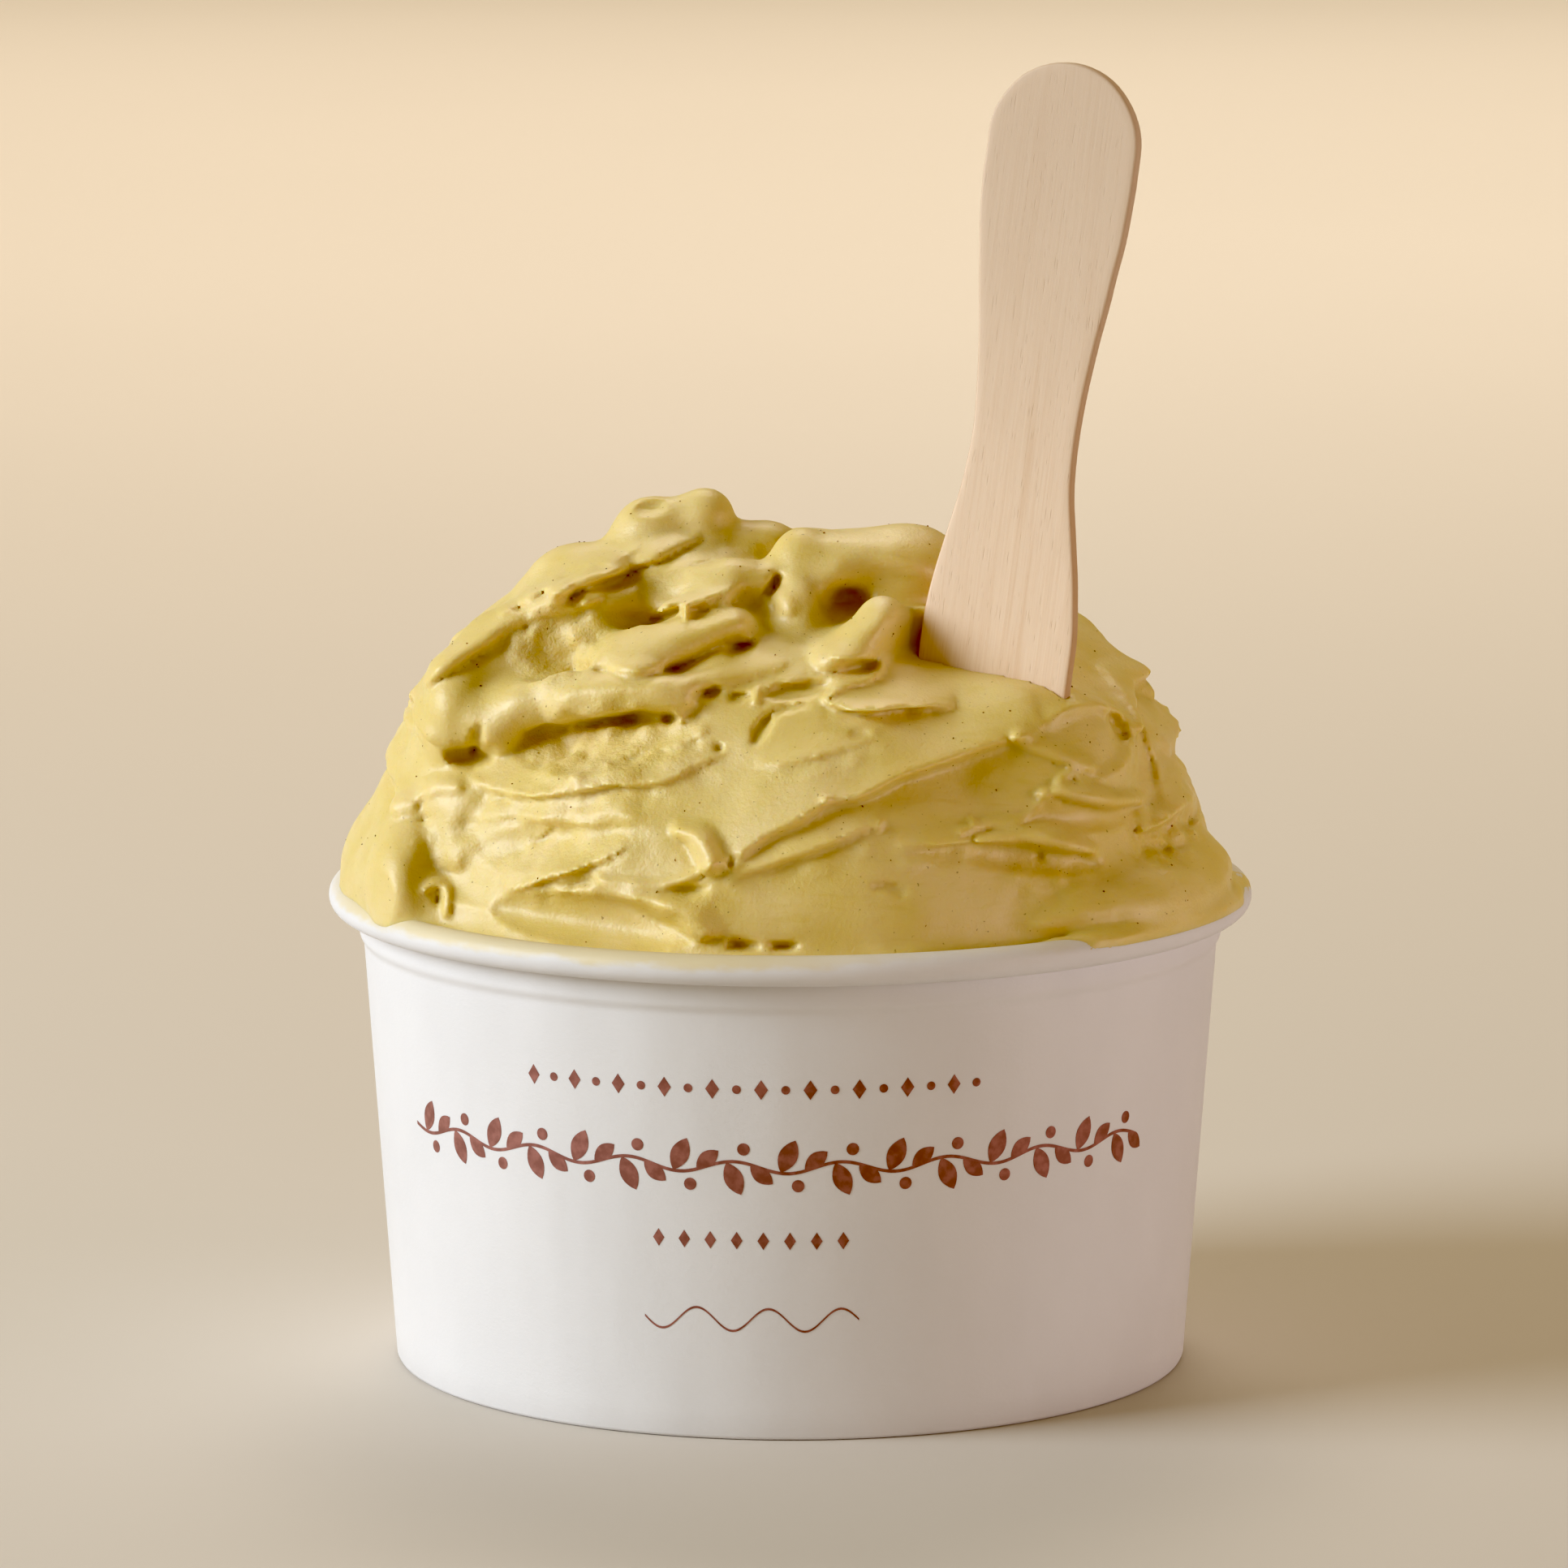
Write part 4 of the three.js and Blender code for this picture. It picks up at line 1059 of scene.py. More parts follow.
def work_drop(view):
    """The glossy drop at the left."""
    view.lobe([(-32.8, 7.9), (-33.4, 5), (-32.9, 2.8)], (2.8, 2.3, 2.5), rise=1.0, soft=1.2)
    view.lobe([(-35.8, 7.8), (-34.6, 8.9), (-32.6, 8.8)], (0.7, 1.1, 0.9), rise=0.7, soft=1.3)
    view.channel([(-36.3, 6.3), (-35.7, 7.8)], (0.4, 0.4), depth=0.4)
    view.lobe(
        [(-35.7, -1.5), (-34.8, -0.8), (-33.6, -1.3), (-33.6, -3.8)],
        (0.5, 0.6, 0.6, 0.5), rise=0.6, soft=1.3,
    )
    view.pit((-34.5, -2.5), length=0.9, width=1.4, depth=0.7)


def work_finger(view):
    """The finger, its bead, the lens and the thin ridge between them."""
    view.pit((27, 5.6), length=12, width=2.8, depth=0.9, tilt=-4, steep=1.0)
    view.lobe(
        [(26.4, 8.6), (28.8, 8.1), (31.2, 7.6), (34, 7.6)],
        (1.1, 1.35, 1.3, 0.7), rise=1.9, soft=1.0, tuck=0.4, lean=0.15, lumpy=0.02,
    )
    view.lobe([(26.2, 9.4), (27.4, 10.2), (28.8, 9.2)], (0.6, 0.7, 0.6), rise=0.8, soft=1.3)
    view.lobe([(24.85, 8.1), (24.95, 8.1)], (0.95, 0.95), rise=1.3, soft=1.0, tuck=0.2, lean=0.0)
    view.lobe(
        [(16.6, 4.3), (19, 5), (22.4, 5.5), (24.4, 6.9)],
        (0.45, 0.55, 0.55, 0.45), rise=0.7, soft=1.8,
    )
    view.pit((23.6, 1.4), length=14, width=3.0, depth=1.0, tilt=-4, steep=1.0)
    view.ledge(
        [(10.2, 2.5), (14.3, 3.1), (18.6, 3.5), (22, 3.2)],
        rise=0.9, width=2.6, drop=0.6, waver=0.05,
    )
    view.lobe(
        [(18.4, 3.5), (21, 3.9), (24, 3.9), (27, 3.3), (29.5, 2.5)],
        (0.5, 1.0, 1.35, 1.25, 0.6), rise=2.0, soft=1.2, tuck=0.4, lean=0.15, lumpy=0.02,
    )


def work_right_edge(view):
    """The ledges and the torn hollow at the right edge."""
    view.ledge(
        [(33.6, 4.2), (35.6, 4.9), (37.9, 6.5), (39.6, 8)],
        rise=1.3, width=2.8, drop=0.7, waver=0.12,
    )
    view.pit((38.8, 5.4), length=2.6, width=1.9, depth=0.6, tilt=40, ragged=0.1)
    view.channel([(34, 2.6), (35.6, 2.8), (37.2, 2.4)], (0.45, 0.55), depth=0.6, waver=0.15)
    view.ledge([(30, 21), (33, 17.6), (35.6, 12), (36.4, 8)], rise=0.9, width=4, drop=1.2, waver=0.1)


def pierce_front(view):
    """Holes and cracks, with the small bridges over them."""
    view.pit((-31.2, 11.9), length=5.4, width=2.6, depth=1.7, tilt=2, steep=0.8, ragged=0.06)
    view.pit((-30.6, 13.4), length=1.5, width=3.4, depth=1.3, tilt=-14, steep=0.8)
    view.pit((-5.0, 22.3), length=3.4, width=1.6, depth=1.0, tilt=18, steep=0.9, ragged=0.06)
    view.channel([(9.6, 21.6), (11.6, 22.2), (13.8, 23.3)], (0.7, 0.8), depth=0.6)
    view.pit((6.6, 20.4), length=3.6, width=1.6, depth=0.7, tilt=4, steep=0.8)
    view.lobe(
        [(3.2, 17.4), (5.3, 18.8), (7.3, 19.3), (8.6, 20.1), (9, 21.2)],
        (0.4, 0.5, 0.5, 0.5, 0.4), rise=0.7, soft=1.3,
    )
    view.pit((0.9, 18.2), length=7.0, width=1.9, depth=1.2, tilt=9, steep=0.6, ragged=0.04)
    view.pit((-8, 17.9), length=3.3, width=1.1, depth=0.8, tilt=16, steep=0.6, ragged=0.08)
    view.pit((-5, 17.6), length=2.5, width=1.05, depth=0.8, tilt=8, steep=0.6, ragged=0.08)
    view.pit((-12.4, 25.4), length=4.6, width=1.1, depth=0.6, tilt=24, steep=0.7, ragged=0.05)
    view.pit((-20.8, 27.4), length=2.0, width=0.9, depth=0.5, tilt=32, steep=0.6)
    view.pit((-13.6, 36), length=3.4, width=1.8, depth=0.7, tilt=8, steep=1.0)
    view.pit((-11.6, 15.4), length=2.0, width=1.0, depth=1.0, tilt=6, steep=0.6, ragged=0.08)
    view.channel(
        [(-25, 13.8), (-20.3, 14.7), (-15.6, 15.4), (-11.4, 15.4)],
        (0.6, 0.6), depth=0.5, waver=0.1,
    )
    view.pit((-2.8, 14.3), length=3.8, width=1.5, depth=0.9, tilt=58, steep=0.6, ragged=0.06)
    view.channel([(-2.8, 14.9), (-1.2, 16.1), (1.8, 16.9)], (0.5, 0.4), depth=0.5)
    view.pit((6.8, 13.9), length=2.6, width=1.1, depth=0.5, tilt=-6)
    view.pit((-6.9, 12.5), length=1.0, width=0.8, depth=0.9, steep=0.5)
    view.channel([(-1, 29.8), (-1.9, 28.2), (-2.5, 27.3)], (0.5, 0.6), depth=0.6)
    view.channel([(-2.4, 27.1), (-3.2, 26.8), (-4.2, 26.2)], (0.6, 0.6), depth=0.4)
    view.channel([(7.9, -1.2), (9.2, -1.1), (10.5, -1.5), (11.2, -2.2)], (0.45, 0.6), depth=0.6)
    view.pit((-4.7, -7.0), length=3.6, width=1.2, depth=1.5, tilt=-4, steep=0.5, ragged=0.1)
    view.pit((-0.7, -7.1), length=3.2, width=0.9, depth=1.3, steep=0.5, ragged=0.1)
    view.channel([(-25.4, 3), (-24, 3.8), (-22.6, 4.9)], (0.4, 0.45), depth=0.4, waver=0.3)
    view.channel([(-22.7, -1.1), (-20.6, -0.9), (-18.9, -0.9)], (0.4, 0.4), depth=0.4, waver=0.3)
    view.pit((24.2, 1.9), length=1.0, width=0.9, depth=0.6, ragged=0.1)
    view.pit((-5.7, 1.3), length=1.8, width=1.0, depth=0.7, tilt=50)
    view.lobe([(-10.2, 26.4), (-10.0, 25.4)], (0.4, 0.46), rise=0.7, soft=1.0, lean=0)
    view.lobe([(-3.2, 18.2), (-3.3, 17.2)], (0.5, 0.6), rise=0.6, soft=1.0, lean=0)
    view.lobe([(-10.9, 15.9), (-10.7, 15.2)], (0.4, 0.46), rise=0.5, soft=1.0, lean=0)
    view.lobe([(17.7, 5.6), (17.9, 5.2)], (0.45, 0.5), rise=0.6, soft=1.0)
    view.lobe([(3.3, 7.6), (3.5, 7.6)], (0.6, 0.6), rise=0.6, soft=1.0)
    view.lobe([(-0.5, 27.1), (-0.2, 26.6)], (1.3, 1.3), rise=0.5, soft=1.0, lean=0)
    view.lobe([(9, 5.4), (8.4, 4.4)], (0.4, 0.4), rise=0.5, soft=1.0)


def score_front(view):
    """The spatula's fine lines, and where the surface is torn."""
    for spots, width, depth, spacing, seed in (
        ([(-3, 5), (8, 11), (22, 17)], 6, 0.09, 1.25, 3),
        ([(-30, 5), (-18, 5.4), (-4, 9)], 5, 0.09, 1.2, 4),
        ([(4, -3), (16, -1), (32, 0)], 5, 0.08, 1.3, 5),
        ([(2, 29), (8, 31), (14, 28)], 4, 0.07, 1.2, 6),
        ([(-19, 26), (-12, 28), (-4, 31)], 4, 0.1, 1.2, 16),
        ([(26, 22), (34, 15), (39, 6)], 6, 0.12, 1.3, 7),
    ):
        view.comb(spots, width, depth, spacing, seed)
    for x, y, size, amount in (
        (-23, 23, 6.4, 0.9), (-17, 13.2, 6, 0.8), (-22, 12.6, 5, 0.75), (-11, 13.4, 4.5, 0.5),
        (-24, 15.6, 4, 0.22), (-24, 4, 7, 0.26), (-18, 3, 6, 0.26), (-9, -4, 4, 0.38), (25, 1, 6, 0.26),
        (36, 4, 5, 0.45), (-34, 3, 5, 0.3),
    ):
        view.patch((x, y), size, amount)


def work_front(view):
    """The shown side, in the order in which it was worked."""
    work_hood(view)
    work_sheet(view)
    work_rolls(view)
    work_flap(view)
    work_middle(view)
    work_low(view)
    work_drop(view)
    work_finger(view)
    work_right_edge(view)
    pierce_front(view)
    score_front(view)


def work_back(view):
    """The side that faces away: broad folds laid over each other."""
    view.lobe(
        [(-30, 16), (-12, 23), (4, 26)],
        (2.6, 3.4, 2.4), bow=3, rise=1.7, soft=2.4, tuck=0.3, waver=0.3,
    )
    view.lobe(
        [(-8, 15.5), (12, 15.5), (30, 11)],
        (2.0, 3.2, 2.0), bow=3, rise=1.7, soft=2.4, tuck=0.3, waver=0.3,
    )
    view.lobe([(-12, 29), (-2, 31), (9, 31)], (1.0, 2.4, 1.0), bow=2, rise=0.9, soft=2.2, waver=0.3)
    view.lobe([(6, 28.6), (14, 27), (22, 23.5)], (0.8, 2.2, 1.0), rise=1.1, soft=2.2, tuck=0.1, waver=0.3)
    view.ledge([(-34, 4), (22, 12)], bow=5, rise=1.2, width=8, drop=1.4, waver=0.25)
    view.ledge([(-20, -2), (30, 3)], bow=4, rise=1.0, width=6, drop=1.0, waver=0.25)
    view.ledge([(-24, 20), (20, 17)], bow=4, rise=1.0, width=6, drop=1.0, waver=0.25)
    view.lobe(
        [(-26, 9), (-12, 13), (2, 13)],
        (0.8, 1.3, 0.7), rise=1.3, soft=2.2, tuck=0.3, lumpy=0.03, lean=0.15,
    )
    view.lobe(
        [(8, 20), (16, 19.6), (24, 15)],
        (0.7, 1.2, 0.7), rise=1.2, soft=2.2, tuck=0.3, lumpy=0.03, lean=0.15,
    )
    view.pit((-8, 21.4), length=7, width=2, depth=1.0, tilt=14, steep=0.7, ragged=0.06)
    view.pit((14, 13.2), length=8, width=1.6, depth=0.9, tilt=-10, steep=0.7, ragged=0.06)
    view.pit((-16, 6), length=5, width=1.2, depth=0.8, tilt=18, steep=0.7, ragged=0.08)
    view.comb([(-30, 8), (0, 14), (28, 8)], width=9, depth=0.16, spacing=1.4, seed=9)
    view.comb([(-24, 18), (0, 23), (22, 20)], width=6, depth=0.14, spacing=1.3, seed=10)
    view.patch((-10, 10), size=14, amount=0.5)
    view.patch((16, 20), size=10, amount=0.5)


def work_right(view):
    """The side at +X."""
    view.lobe([(-2, 14), (26, 19)], (2, 2.6), bow=2.6, rise=1.5, soft=2.2, tuck=0.25, waver=0.25)
    view.lobe([(-10, 9), (20, 4)], (1.8, 2.2), bow=2, rise=1.2, soft=2.2, tuck=0.25, waver=0.25)
    view.ledge([(-16, 2), (30, 12)], bow=4, rise=1.0, width=6, drop=1.0, waver=0.25)
    view.lobe(
        [(-18, 12), (-8, 15), (2, 15)],
        (0.7, 1.2, 0.7), rise=1.2, soft=2.2, tuck=0.3, lumpy=0.03, lean=0.15,
    )
    view.pit((7, 10.4), length=7, width=1.6, depth=0.9, tilt=10, steep=0.7, ragged=0.06)
    view.comb([(-20, 4), (6, 10), (30, 6)], width=8, depth=0.16, spacing=1.4, seed=11)
    view.patch((8, 6), size=12, amount=0.5)


def work_left(view):
    """The side at -X."""
    view.lobe([(-24, 13), (4, 20)], (2.6, 2), bow=2.4, rise=1.5, soft=2.2, tuck=0.25, waver=0.25)
    view.lobe([(-20, 8), (18, 4.5)], (1.8, 2.4), bow=2, rise=1.2, soft=2.2, tuck=0.25, waver=0.25)
    view.ledge([(-30, 1), (18, 10)], bow=4, rise=1.0, width=6, drop=1.0, waver=0.25)
    view.lobe(
        [(4, 12), (12, 14), (20, 11)],
        (0.7, 1.2, 0.7), rise=1.2, soft=2.2, tuck=0.3, lumpy=0.03, lean=0.15,
    )
    view.pit((-6, 13.4), length=7, width=1.6, depth=0.9, tilt=12, steep=0.7, ragged=0.06)
    view.comb([(-30, 6), (0, 11), (24, 4)], width=8, depth=0.16, spacing=1.4, seed=12)
    view.patch((-8, 8), size=12, amount=0.5)


def paper_inside(form, cup):
    """The inside of the wall, with the seat, at each height of the lattice."""
    return (wall_radius(cup, cup.height + form.axes[2] * MM) - cup.paper) / MM + SEAT


def spill(form, middle, spread, height, ring, size):
    """Adds gelato that has run out over the rim, thinner towards its ends."""
    x, y, up = form.everywhere()
    off = (np.degrees(np.arctan2(y, x)) - middle + 540) % 360 - 180
    nearest = np.radians(middle + np.clip(off, -spread, spread))
    x, y = x - ring * np.cos(nearest), y - ring * np.sin(nearest)
    away = np.sqrt(x**2 + y**2 + (up - height) ** 2)
    away -= size * (1 - 1.9 * smooth(np.abs(off) / spread * 1.3 - 0.3))
    form.value = smooth_union(form.value, away.astype(np.float32), MELT["spill"])


def rim_film(form, cup):
    """Adds the gelato that fills the cup to the rim and the film that has melted over the roll."""
    x, y, up = form.everywhere()
    radius = np.sqrt(x * x + y * y)
    bearing = np.degrees(np.arctan2(y, x))
    filling = np.maximum(radius - paper_inside(form, cup)[None, None, :], up + 1.6)
    form.value = smooth_union(form.value, filling.astype(np.float32), MELT["filling"])
    roll, rim = cup.roll_radius / MM, cup.rim_radius / MM
    out, over = radius - (rim - roll), up + roll
    tube = np.sqrt(out * out + over * over)
    angle = np.degrees(np.arctan2(out, over))
    edge = np.interp(bearing, list(FILM_REACH), list(FILM_REACH.values()))
    wander = 3 * form.cloud(2.6, 31) + 6 * form.cloud(7, 32)
    thick = FILM_THICK * smooth((edge + wander - angle) / 30) - 0.6 * smooth(-edge / 30)
    film = (tube - roll - thick).astype(np.float32)
    form.value = np.where(angle > -110, smooth_union(form.value, film, MELT["film"]), form.value)


def spoon_cut(form, spoon):
    """Cuts the notch that the blade made, open above and in front of it, and the room for the blade."""
    back = np.array(spoon_pose(spoon).inverted())
    across, ahead, over = NOTCH_MIDDLE
    centre = (across, ahead, spoon.sunk / MM + over)
    where, (x, y, up) = form.block((0, -46, -4), (40, 8, 42))
    height = up + CUP_TOP.z / MM
    local = [back[i, 0] * x + back[i, 1] * y + back[i, 2] * height + back[i, 3] / MM for i in range(3)]
    out = [np.abs(local[i] - centre[i]) - NOTCH_HALF[i] for i in range(3)]
    outside = np.sqrt(sum(np.maximum(o, 0) ** 2 for o in out))
    notch = outside + np.minimum(np.maximum.reduce(out), 0) - NOTCH_ROUNDING
    block = smooth_cut(form.value[where], notch.astype(np.float32), MELT["notch"])
    heights = np.linspace(0, spoon.length, 40)
    widths = [spoon_half_width(spoon, height) for height in heights]
    width = np.interp(np.clip(local[2] * MM, 0, spoon.length), heights, widths) / MM
    across = np.abs(local[0]) - width + 0.15
    through = np.abs(local[1]) - spoon.thickness / MM / 2 + 0.12
    blade = np.maximum.reduce([across, through, -local[2] + 0.15])
    form.value[where] = np.maximum(block, -blade.astype(np.float32))


def work_gelato(cup, spoon, gelato):
    """The whole form of the gelato, heaped, worked with a spatula and cut by the spoon."""
    form = Form(FORM_LOW, FORM_HIGH, gelato.cell / MM, gelato.seed)
    for kind, lumps in (("lump", LUMPS), ("knob", KNOBS), ("hollow", DIGS), ("bump", NOSE)):
        for lump in lumps:
            form.lump(*lump, melt=MELT[kind], dig=kind == "hollow")
    for run in SPILLS:
        spill(form, *run)
    form.value += gelato.wobble / MM * form.cloud(6.5, 1)
    for turn, work in ((180, work_back), (90, work_right), (270, work_left), (0, work_front)):
        work(View(form, turn))
    rim_film(form, cup)
    form.value += 0.05 * form.cloud(2.4, 2)
    grit = form.cloud(1.3, 3) + 0.6 * form.cloud(0.9, 4)
    form.value += gelato.grit / MM * (0.06 + form.torn) * grit
    spoon_cut(form, spoon)
    x, y, up = form.everywhere()
    radius = np.sqrt(x * x + y * y)
    limit = np.where(up.ravel() < -1.45, paper_inside(form, cup), cup.rim_radius / MM - 0.05)
    form.value = np.maximum(form.value, (radius - limit[None, None, :]).astype(np.float32))
    return form


def gelato_finish(colours):
    """Pistachio gelato: light under the skin, a moist sheen, ground nut in it and a grainier torn surface."""
    finish = Finish("pistachio_gelato")
    torn = finish.node("ShaderNodeAttribute", {"attribute_name": "torn"}, output="Fac")
    cloud = finish.noise(finish.scaled(7 * MM), detail=2)
    grain = finish.noise(finish.scaled(0.55 * MM), detail=3, roughness=0.6)
    crumb = finish.noise(finish.scaled(0.3 * MM), detail=2)
    streak = finish.noise(finish.scaled(3.5 * MM, 3.5 * MM, 0.8 * MM), detail=2, distortion=0.4)
    nut = finish.noise(finish.scaled(0.42 * MM, start=(0.01, 0.02, 0.03)), detail=1)
    base = colours.gelato
    pale = (min(1, base[0] * 1.1), min(1, base[1] * 1.13), base[2] * 1.5)
    deep = (base[0] * 0.93, base[1] * 0.9, base[2] * 0.72)
    toned = finish.blend(cloud.ramp(0.35, 0.7) * 0.6, base, pale)
    streaked = finish.blend(streak.ramp(0.5, 0.8) * 0.35, toned, deep)
    flecked = finish.blend(nut.ramp(0.73, 0.8) * 0.5, streaked, colours.skin)
    low = finish.bump(grain * (0.25 + 0.75 * torn), 0.3 * MM, 0.75)
    fine = finish.bump(crumb, 0.06 * MM, 0.5, low)
    rough = 0.46 + 0.1 * torn + 0.12 * grain
    return finish.done(
        Base_Color=flecked, Roughness=rough, Normal=fine, IOR=1.46, Specular_IOR_Level=0.8,
        Subsurface_Weight=0.6, Subsurface_Radius=(1.0, 0.72, 0.25), Subsurface_Scale=1.0 * MM,
        Coat_Weight=0.22, Coat_Roughness=0.34, Coat_IOR=1.45,
    )


def close_below(made, cup):
    """Carries the gelato's open lower edge down to the cup's bottom and closes it. The sides are made one by
    one, because an extrusion leaves them in another order on each run, which changes what is made of them."""
    shape = bmesh.new()
    shape.from_mesh(made.data)
    clearance = 0.05 * MM
    floor = cup.hem_height + cup.paper + clearance
    inner = wall_radius(cup, floor) - cup.paper - clearance
    rim = [edge.verts[:] for edge in shape.edges if edge.is_boundary]
    below = {}
    for corner in [corner for corner in shape.verts if corner.is_boundary]:
        flat = Vector((corner.co.x, corner.co.y, 0)).normalized() * inner
        below[corner] = shape.verts.new((flat.x, flat.y, floor), corner)
    for a, b in rim:
        shape.faces.new((a, b, below[b], below[a]))
    under = [shape.edges.get((below[a], below[b])) for a, b in rim]
    bmesh.ops.edgeloop_fill(shape, edges=under)
    bmesh.ops.recalc_face_normals(shape, faces=shape.faces)
    shape.to_mesh(made.data)
    shape.free()


def thin_out(made, most):
    """Joins faces where the surface is even, until no more than "most" triangles are left."""
    count = sum(len(face.vertices) - 2 for face in made.data.polygons)
    thinning = made.modifiers.new("Thin out", "DECIMATE")
    thinning.ratio = min(1, most / count)
    thinned = bpy.data.meshes.new_from_object(made.evaluated_get(bpy.context.evaluated_depsgraph_get()))
    made.modifiers.remove(thinning)
    made.data = thinned


def speck_tree():
    """Flecks of nut skin, half sunk in the surface of the gelato that stands over the rim."""
    steps = Steps("Nut skin flecks")
    density, size, above = (steps.value(name) for name in ("Density", "Size", "Above"))
    seed = steps.value("Seed", "NodeSocketInt")
    height = steps.split(steps.node("GeometryNodeInputPosition"))[2]
    over = {"data_type": "FLOAT", "operation": "GREATER_THAN"}
    high = steps.node("FunctionNodeCompare", over, {0: height, 1: above})
    values = {"Mesh": steps.geometry, "Selection": high, "Density": density, "Seed": seed}
    spread = steps.node("GeometryNodeDistributePointsOnFaces", {}, values)
    ball = steps.node("GeometryNodeMeshIcoSphere", {}, {"Radius": 0.5, "Subdivisions": 1})
    vector = {"data_type": "FLOAT_VECTOR"}
    least, most, full_turn = (0.25, 0.25, 0.2), (1.0, 0.8, 0.45), (6.283, 6.283, 6.283)
    scale = steps.node("FunctionNodeRandomValue", vector, {0: least, 1: most, "Seed": seed})
    sized = steps.node("ShaderNodeVectorMath", {"operation": "SCALE"}, {0: scale, "Scale": size})
    turn = steps.node("FunctionNodeRandomValue", vector, {0: (0, 0, 0), 1: full_turn, "Seed": seed + 1})
    values = {"Points": spread, "Instance": ball, "Rotation": turn, "Scale": sized}
    flecks = steps.node("GeometryNodeInstanceOnPoints", {}, values)
    return steps.end(flecks)


def skin_finish(colours):
    """Brown skin of the nut, lighter in places."""
    finish = Finish("nut_skin")
    tone = finish.noise(finish.scaled(1.5 * MM), detail=1)
    mixed = finish.blend(tone.ramp(0.35, 0.65), colours.skin, tint(colours.skin, 2.2))
    return finish.done(Base_Color=mixed, Roughness=0.5 + 0.1 * tone)


# ---- the stage ----

FLOOR_RADIUS = 8
FLOOR_SIDES = 96
SKY_COLOUR = (1.0, 0.8, 0.42, 1)
SKY_STRENGTH = 0.33
LAMPS = {
    "key": {
        "place": (-1.0, -0.3, 0.5), "aim": (0, 0, 0.05), "size": 0.6, "power": 3.4,
        "colour": (0.91, 1.0, 1.12), "spread": 90,
    },
    "fill": {
        "place": (1.0, -0.35, 0.05), "aim": (0, 0, 0.04), "size": 0.5, "power": 3.1,
        "colour": (1.0, 0.85, 0.97), "spread": 140,
    },
    "backdrop light": {
        "place": (0, 2.2, 1.6), "aim": (0, 1.25, 0), "size": 1.6, "power": 9.0,
        "colour": (1.0, 0.9, 0.8), "spread": 46,
    },
}
BLACK_LEVEL = 0.072  # what is darker than this comes out black
SENSOR = 36
FRAME_PIXELS = 1932
FOCAL_PIXELS = 10248  # the lens's focal length, counted in pixels of the frame
CAMERA_PLACE = (0, -0.8, 0.187)
CAMERA_DOWN = 9.282  # degrees that the camera looks down, and turns to the left
CAMERA_TURN = 0.044


def floor_finish(colours):
    """Pale matt paint, a little uneven."""
    finish = Finish("pale_floor")
    cloud = finish.noise(finish.scaled(0.2), detail=1)
    tone = finish.blend(cloud, tint(colours.floor, 0.98), colours.floor)
    return finish.done(Base_Color=tone, Roughness=0.75, Specular_IOR_Level=0.2)


# ---- operators ----


class GELATO_OT_paper_cup(bpy.types.Operator):
    """Builds the wall with its rolled rim and hem, and the bottom."""

    bl_idname = "gelato.paper_cup"
    bl_label = "Paper Cup"

    def execute(self, context):
        sizes = context.scene.gelato_cup
        paper = paper_finish(context.scene.gelato_finishes, sizes)
        wall = turned_piece("paper_wall", wall_profile(sizes), sizes.sides, paper)
        dress(wall, "paper", "cup_wall")
        bottom = turned_piece("paper_bottom", bottom_profile(sizes), sizes.sides, paper)
        for face in bottom.data.polygons:
            face.use_smooth = False
        dress(bottom, "paper", "cup_bottom")
        return {"FINISHED"}


class GELATO_OT_print(bpy.types.Operator):
    """Prints rows of plain ornament on the front of the cup."""

    bl_idname = "gelato.printed_rows"
    bl_label = "Printed Rows"

    def execute(self, context):
        sizes = context.scene.gelato_cup
        ink = ink_finish(context.scene.gelato_finishes)
        tree = wrap_tree()
        taper = (wall_radius(sizes, 0.03) - wall_radius(sizes, 0.01)) / 0.02
        beads = [lozenge((-1.15 * MM, 0), 1.3 * MM, 1.9 * MM), dot((1.15 * MM, 0), 0.42 * MM)]
        rows = [
            ("printed_beads", beads, 10, 4.6 * MM, 34.1 * MM, -95.4),
            ("printed_garland", garland_unit(10.2 * MM), 8, 10.2 * MM, 26.6 * MM, -94),
            ("printed_dots", [lozenge((0, 0), 1.1 * MM, 1.7 * MM)], 8, 2.5 * MM, 19.5 * MM, -95.4),
            ("printed_line", stem(6.8 * MM, 1.1 * MM, 0.22 * MM, 1), 3, 6.8 * MM, 11.8 * MM, -95.4),
        ]
        for name, shapes, count, pitch, height, middle in rows:
            points = [(x, y, 0) for shape in shapes for x, y in shape]
            starts = np.cumsum([0] + [len(shape) for shape in shapes])
            mesh = bpy.data.meshes.new(name)
            mesh.from_pydata(points, [], [list(range(a, b)) for a, b in zip(starts, starts[1:])])
            made = tree.run(
                name, mesh, Count=count, Pitch=pitch, Height=height, Middle=math.radians(middle), Taper=taper,
                Foot_radius=sizes.foot_radius, Ink=INK, Material=ink,
            )
            dress(made, "paper")
        return {"FINISHED"}


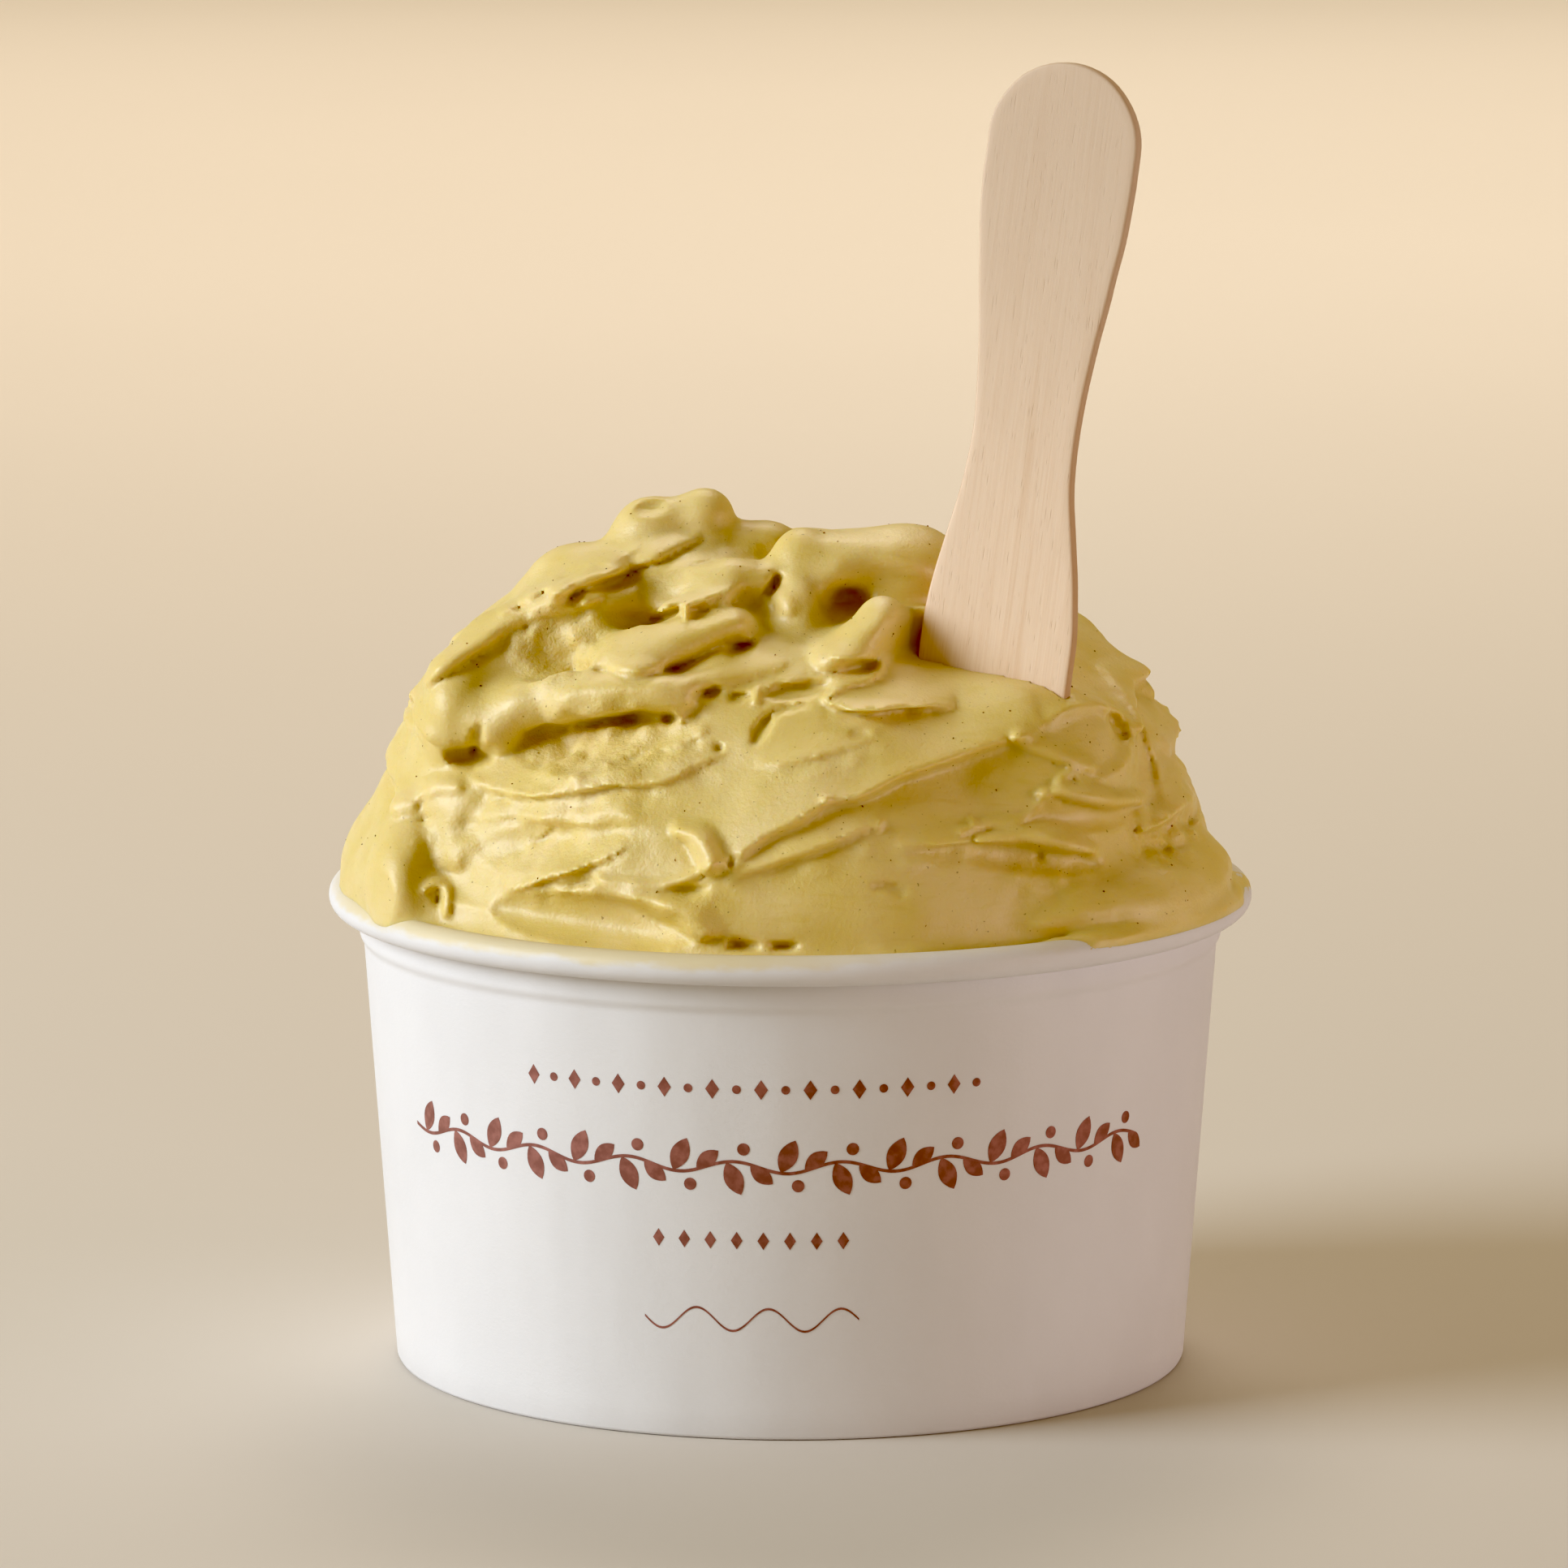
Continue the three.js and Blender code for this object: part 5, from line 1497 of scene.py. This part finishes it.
class GELATO_OT_gelato(bpy.types.Operator):
    """Heaps and works the gelato, and scatters the flecks of nut skin on it."""

    bl_idname = "gelato.gelato"
    bl_label = "Gelato"

    def execute(self, context):
        scene = context.scene
        cup, mass, finishes = scene.gelato_cup, scene.gelato_mass, scene.gelato_finishes
        form = work_gelato(cup, scene.gelato_spoon, mass)
        points, faces = form.skin()
        placed = (points + [0, 0, cup.height / MM]) * MM
        made = mesh_object("gelato_heap", placed, faces, gelato_finish(finishes))
        torn = made.data.attributes.new("torn", "FLOAT", "POINT")
        torn.data.foreach_set("value", np.clip(form.at(points, form.torn), 0, 1).astype(np.float32))
        close_below(made, cup)
        thin_out(made, mass.faces)
        made.data.shade_smooth()
        dress(made, "gelato", "gelato")
        flecks = speck_tree().run(
            "nut_flecks", made.data.copy(), Density=mass.specks, Size=mass.speck, Above=cup.height - 0.5 * MM,
            Seed=mass.seed, Material=skin_finish(finishes),
        )
        dress(flecks, "gelato")
        return {"FINISHED"}


class GELATO_OT_spoon(bpy.types.Operator):
    """Builds the flat wooden spoon."""

    bl_idname = "gelato.spoon"
    bl_label = "Wooden Spoon"

    def execute(self, context):
        spoon = context.scene.gelato_spoon
        rings = spoon_points(spoon)
        count = len(rings[0])
        faces = [list(range(count))[::-1], list(range((len(rings) - 1) * count, len(rings) * count))]
        for row in range(len(rings) - 1):
            for i in range(count):
                j = (i + 1) % count
                faces.append((row * count + i, row * count + j, (row + 1) * count + j, (row + 1) * count + i))
        birch = wood_finish(context.scene.gelato_finishes, spoon)
        made = mesh_object("birch_spoon", np.vstack(rings), faces, birch)
        # marks the cut sides, which the wood finish paints browner, partly as painted shade
        sides = np.zeros((len(rings), count), np.float32)
        sides[3:-3] = 1
        made.data.attributes.new("edge", "FLOAT", "POINT").data.foreach_set("value", sides.ravel())
        made.data.transform(spoon_pose(spoon))
        face_out(made)
        dress(made, "wood", "spoon")
        return {"FINISHED"}


class GELATO_OT_stage(bpy.types.Operator):
    """Sets the floor, the soft studio lights and the camera."""

    bl_idname = "gelato.stage"
    bl_label = "Stage"

    def execute(self, context):
        scene = context.scene
        edge = arc((0, 0), FLOOR_RADIUS, np.linspace(0, 2 * math.pi, FLOOR_SIDES + 1)[:-1])
        material = floor_finish(scene.gelato_finishes)
        mesh_object("studio_floor", [(x, y, 0) for x, y in edge], [range(FLOOR_SIDES)], material)
        world = bpy.data.worlds.new("studio")
        scene.world = world
        world.use_nodes = True
        world.node_tree.nodes["Background"].inputs["Color"].default_value = SKY_COLOUR
        world.node_tree.nodes["Background"].inputs["Strength"].default_value = SKY_STRENGTH
        for name, lamp in LAMPS.items():
            soft_light(name, **lamp)
        view = bpy.data.cameras.new("view")
        view.sensor_width, view.lens = SENSOR, FOCAL_PIXELS / FRAME_PIXELS * SENSOR
        view.clip_start, view.clip_end = 0.05, 40
        camera = bpy.data.objects.new("view", view)
        scene.collection.objects.link(camera)
        camera.location = CAMERA_PLACE
        camera.rotation_euler = (math.radians(90 - CAMERA_DOWN), 0, math.radians(CAMERA_TURN))
        scene.camera = camera
        scene.view_settings.view_transform = "Standard"
        scene.view_settings.use_curve_mapping = True
        scene.view_settings.curve_mapping.black_level = [BLACK_LEVEL] * 3
        return {"FINISHED"}


def soft_light(name, place, aim, size, power, colour, spread):
    """A square light of "size" metres that looks at "aim" and spreads over some degrees."""
    light = bpy.data.lights.new(name, "AREA")
    light.size, light.energy, light.color, light.spread = size, power, colour, math.radians(spread)
    lamp = bpy.data.objects.new(name, light)
    bpy.context.scene.collection.objects.link(lamp)
    lamp.location = place
    lamp.rotation_euler = (Vector(aim) - Vector(place)).to_track_quat("-Z", "Y").to_euler()


class GELATO_PT_panel(bpy.types.Panel):
    """Lists the pieces of the gelato cup."""

    bl_label = "Gelato Cup"
    bl_idname = "GELATO_PT_panel"
    bl_space_type = "VIEW_3D"
    bl_region_type = "UI"
    bl_category = "Gelato"

    def draw(self, context):
        for operator in OPERATORS:
            self.layout.operator(operator.bl_idname)
        for name in GROUPS:
            box = self.layout.box()
            group = getattr(context.scene, name)
            for key in group.bl_rna.properties.keys():
                if key not in ("rna_type", "name"):
                    box.prop(group, key)


GROUPS = {
    "gelato_cup": CupSizes,
    "gelato_spoon": SpoonSizes,
    "gelato_mass": GelatoSizes,
    "gelato_finishes": Finishes,
}
OPERATORS = [GELATO_OT_paper_cup, GELATO_OT_print, GELATO_OT_spoon, GELATO_OT_gelato, GELATO_OT_stage]


def register():
    for made in [*GROUPS.values(), *OPERATORS, GELATO_PT_panel]:
        bpy.utils.register_class(made)
    for name, group in GROUPS.items():
        setattr(bpy.types.Scene, name, PointerProperty(type=group))


def unregister():
    for name in GROUPS:
        delattr(bpy.types.Scene, name)
    for made in [GELATO_PT_panel, *OPERATORS[::-1], *list(GROUPS.values())[::-1]]:
        bpy.utils.unregister_class(made)


def main():
    register()
    bpy.ops.gelato.paper_cup()
    bpy.ops.gelato.printed_rows()
    bpy.ops.gelato.spoon()
    bpy.ops.gelato.gelato()
    bpy.ops.gelato.stage()


if __name__ == "__main__":
    main()
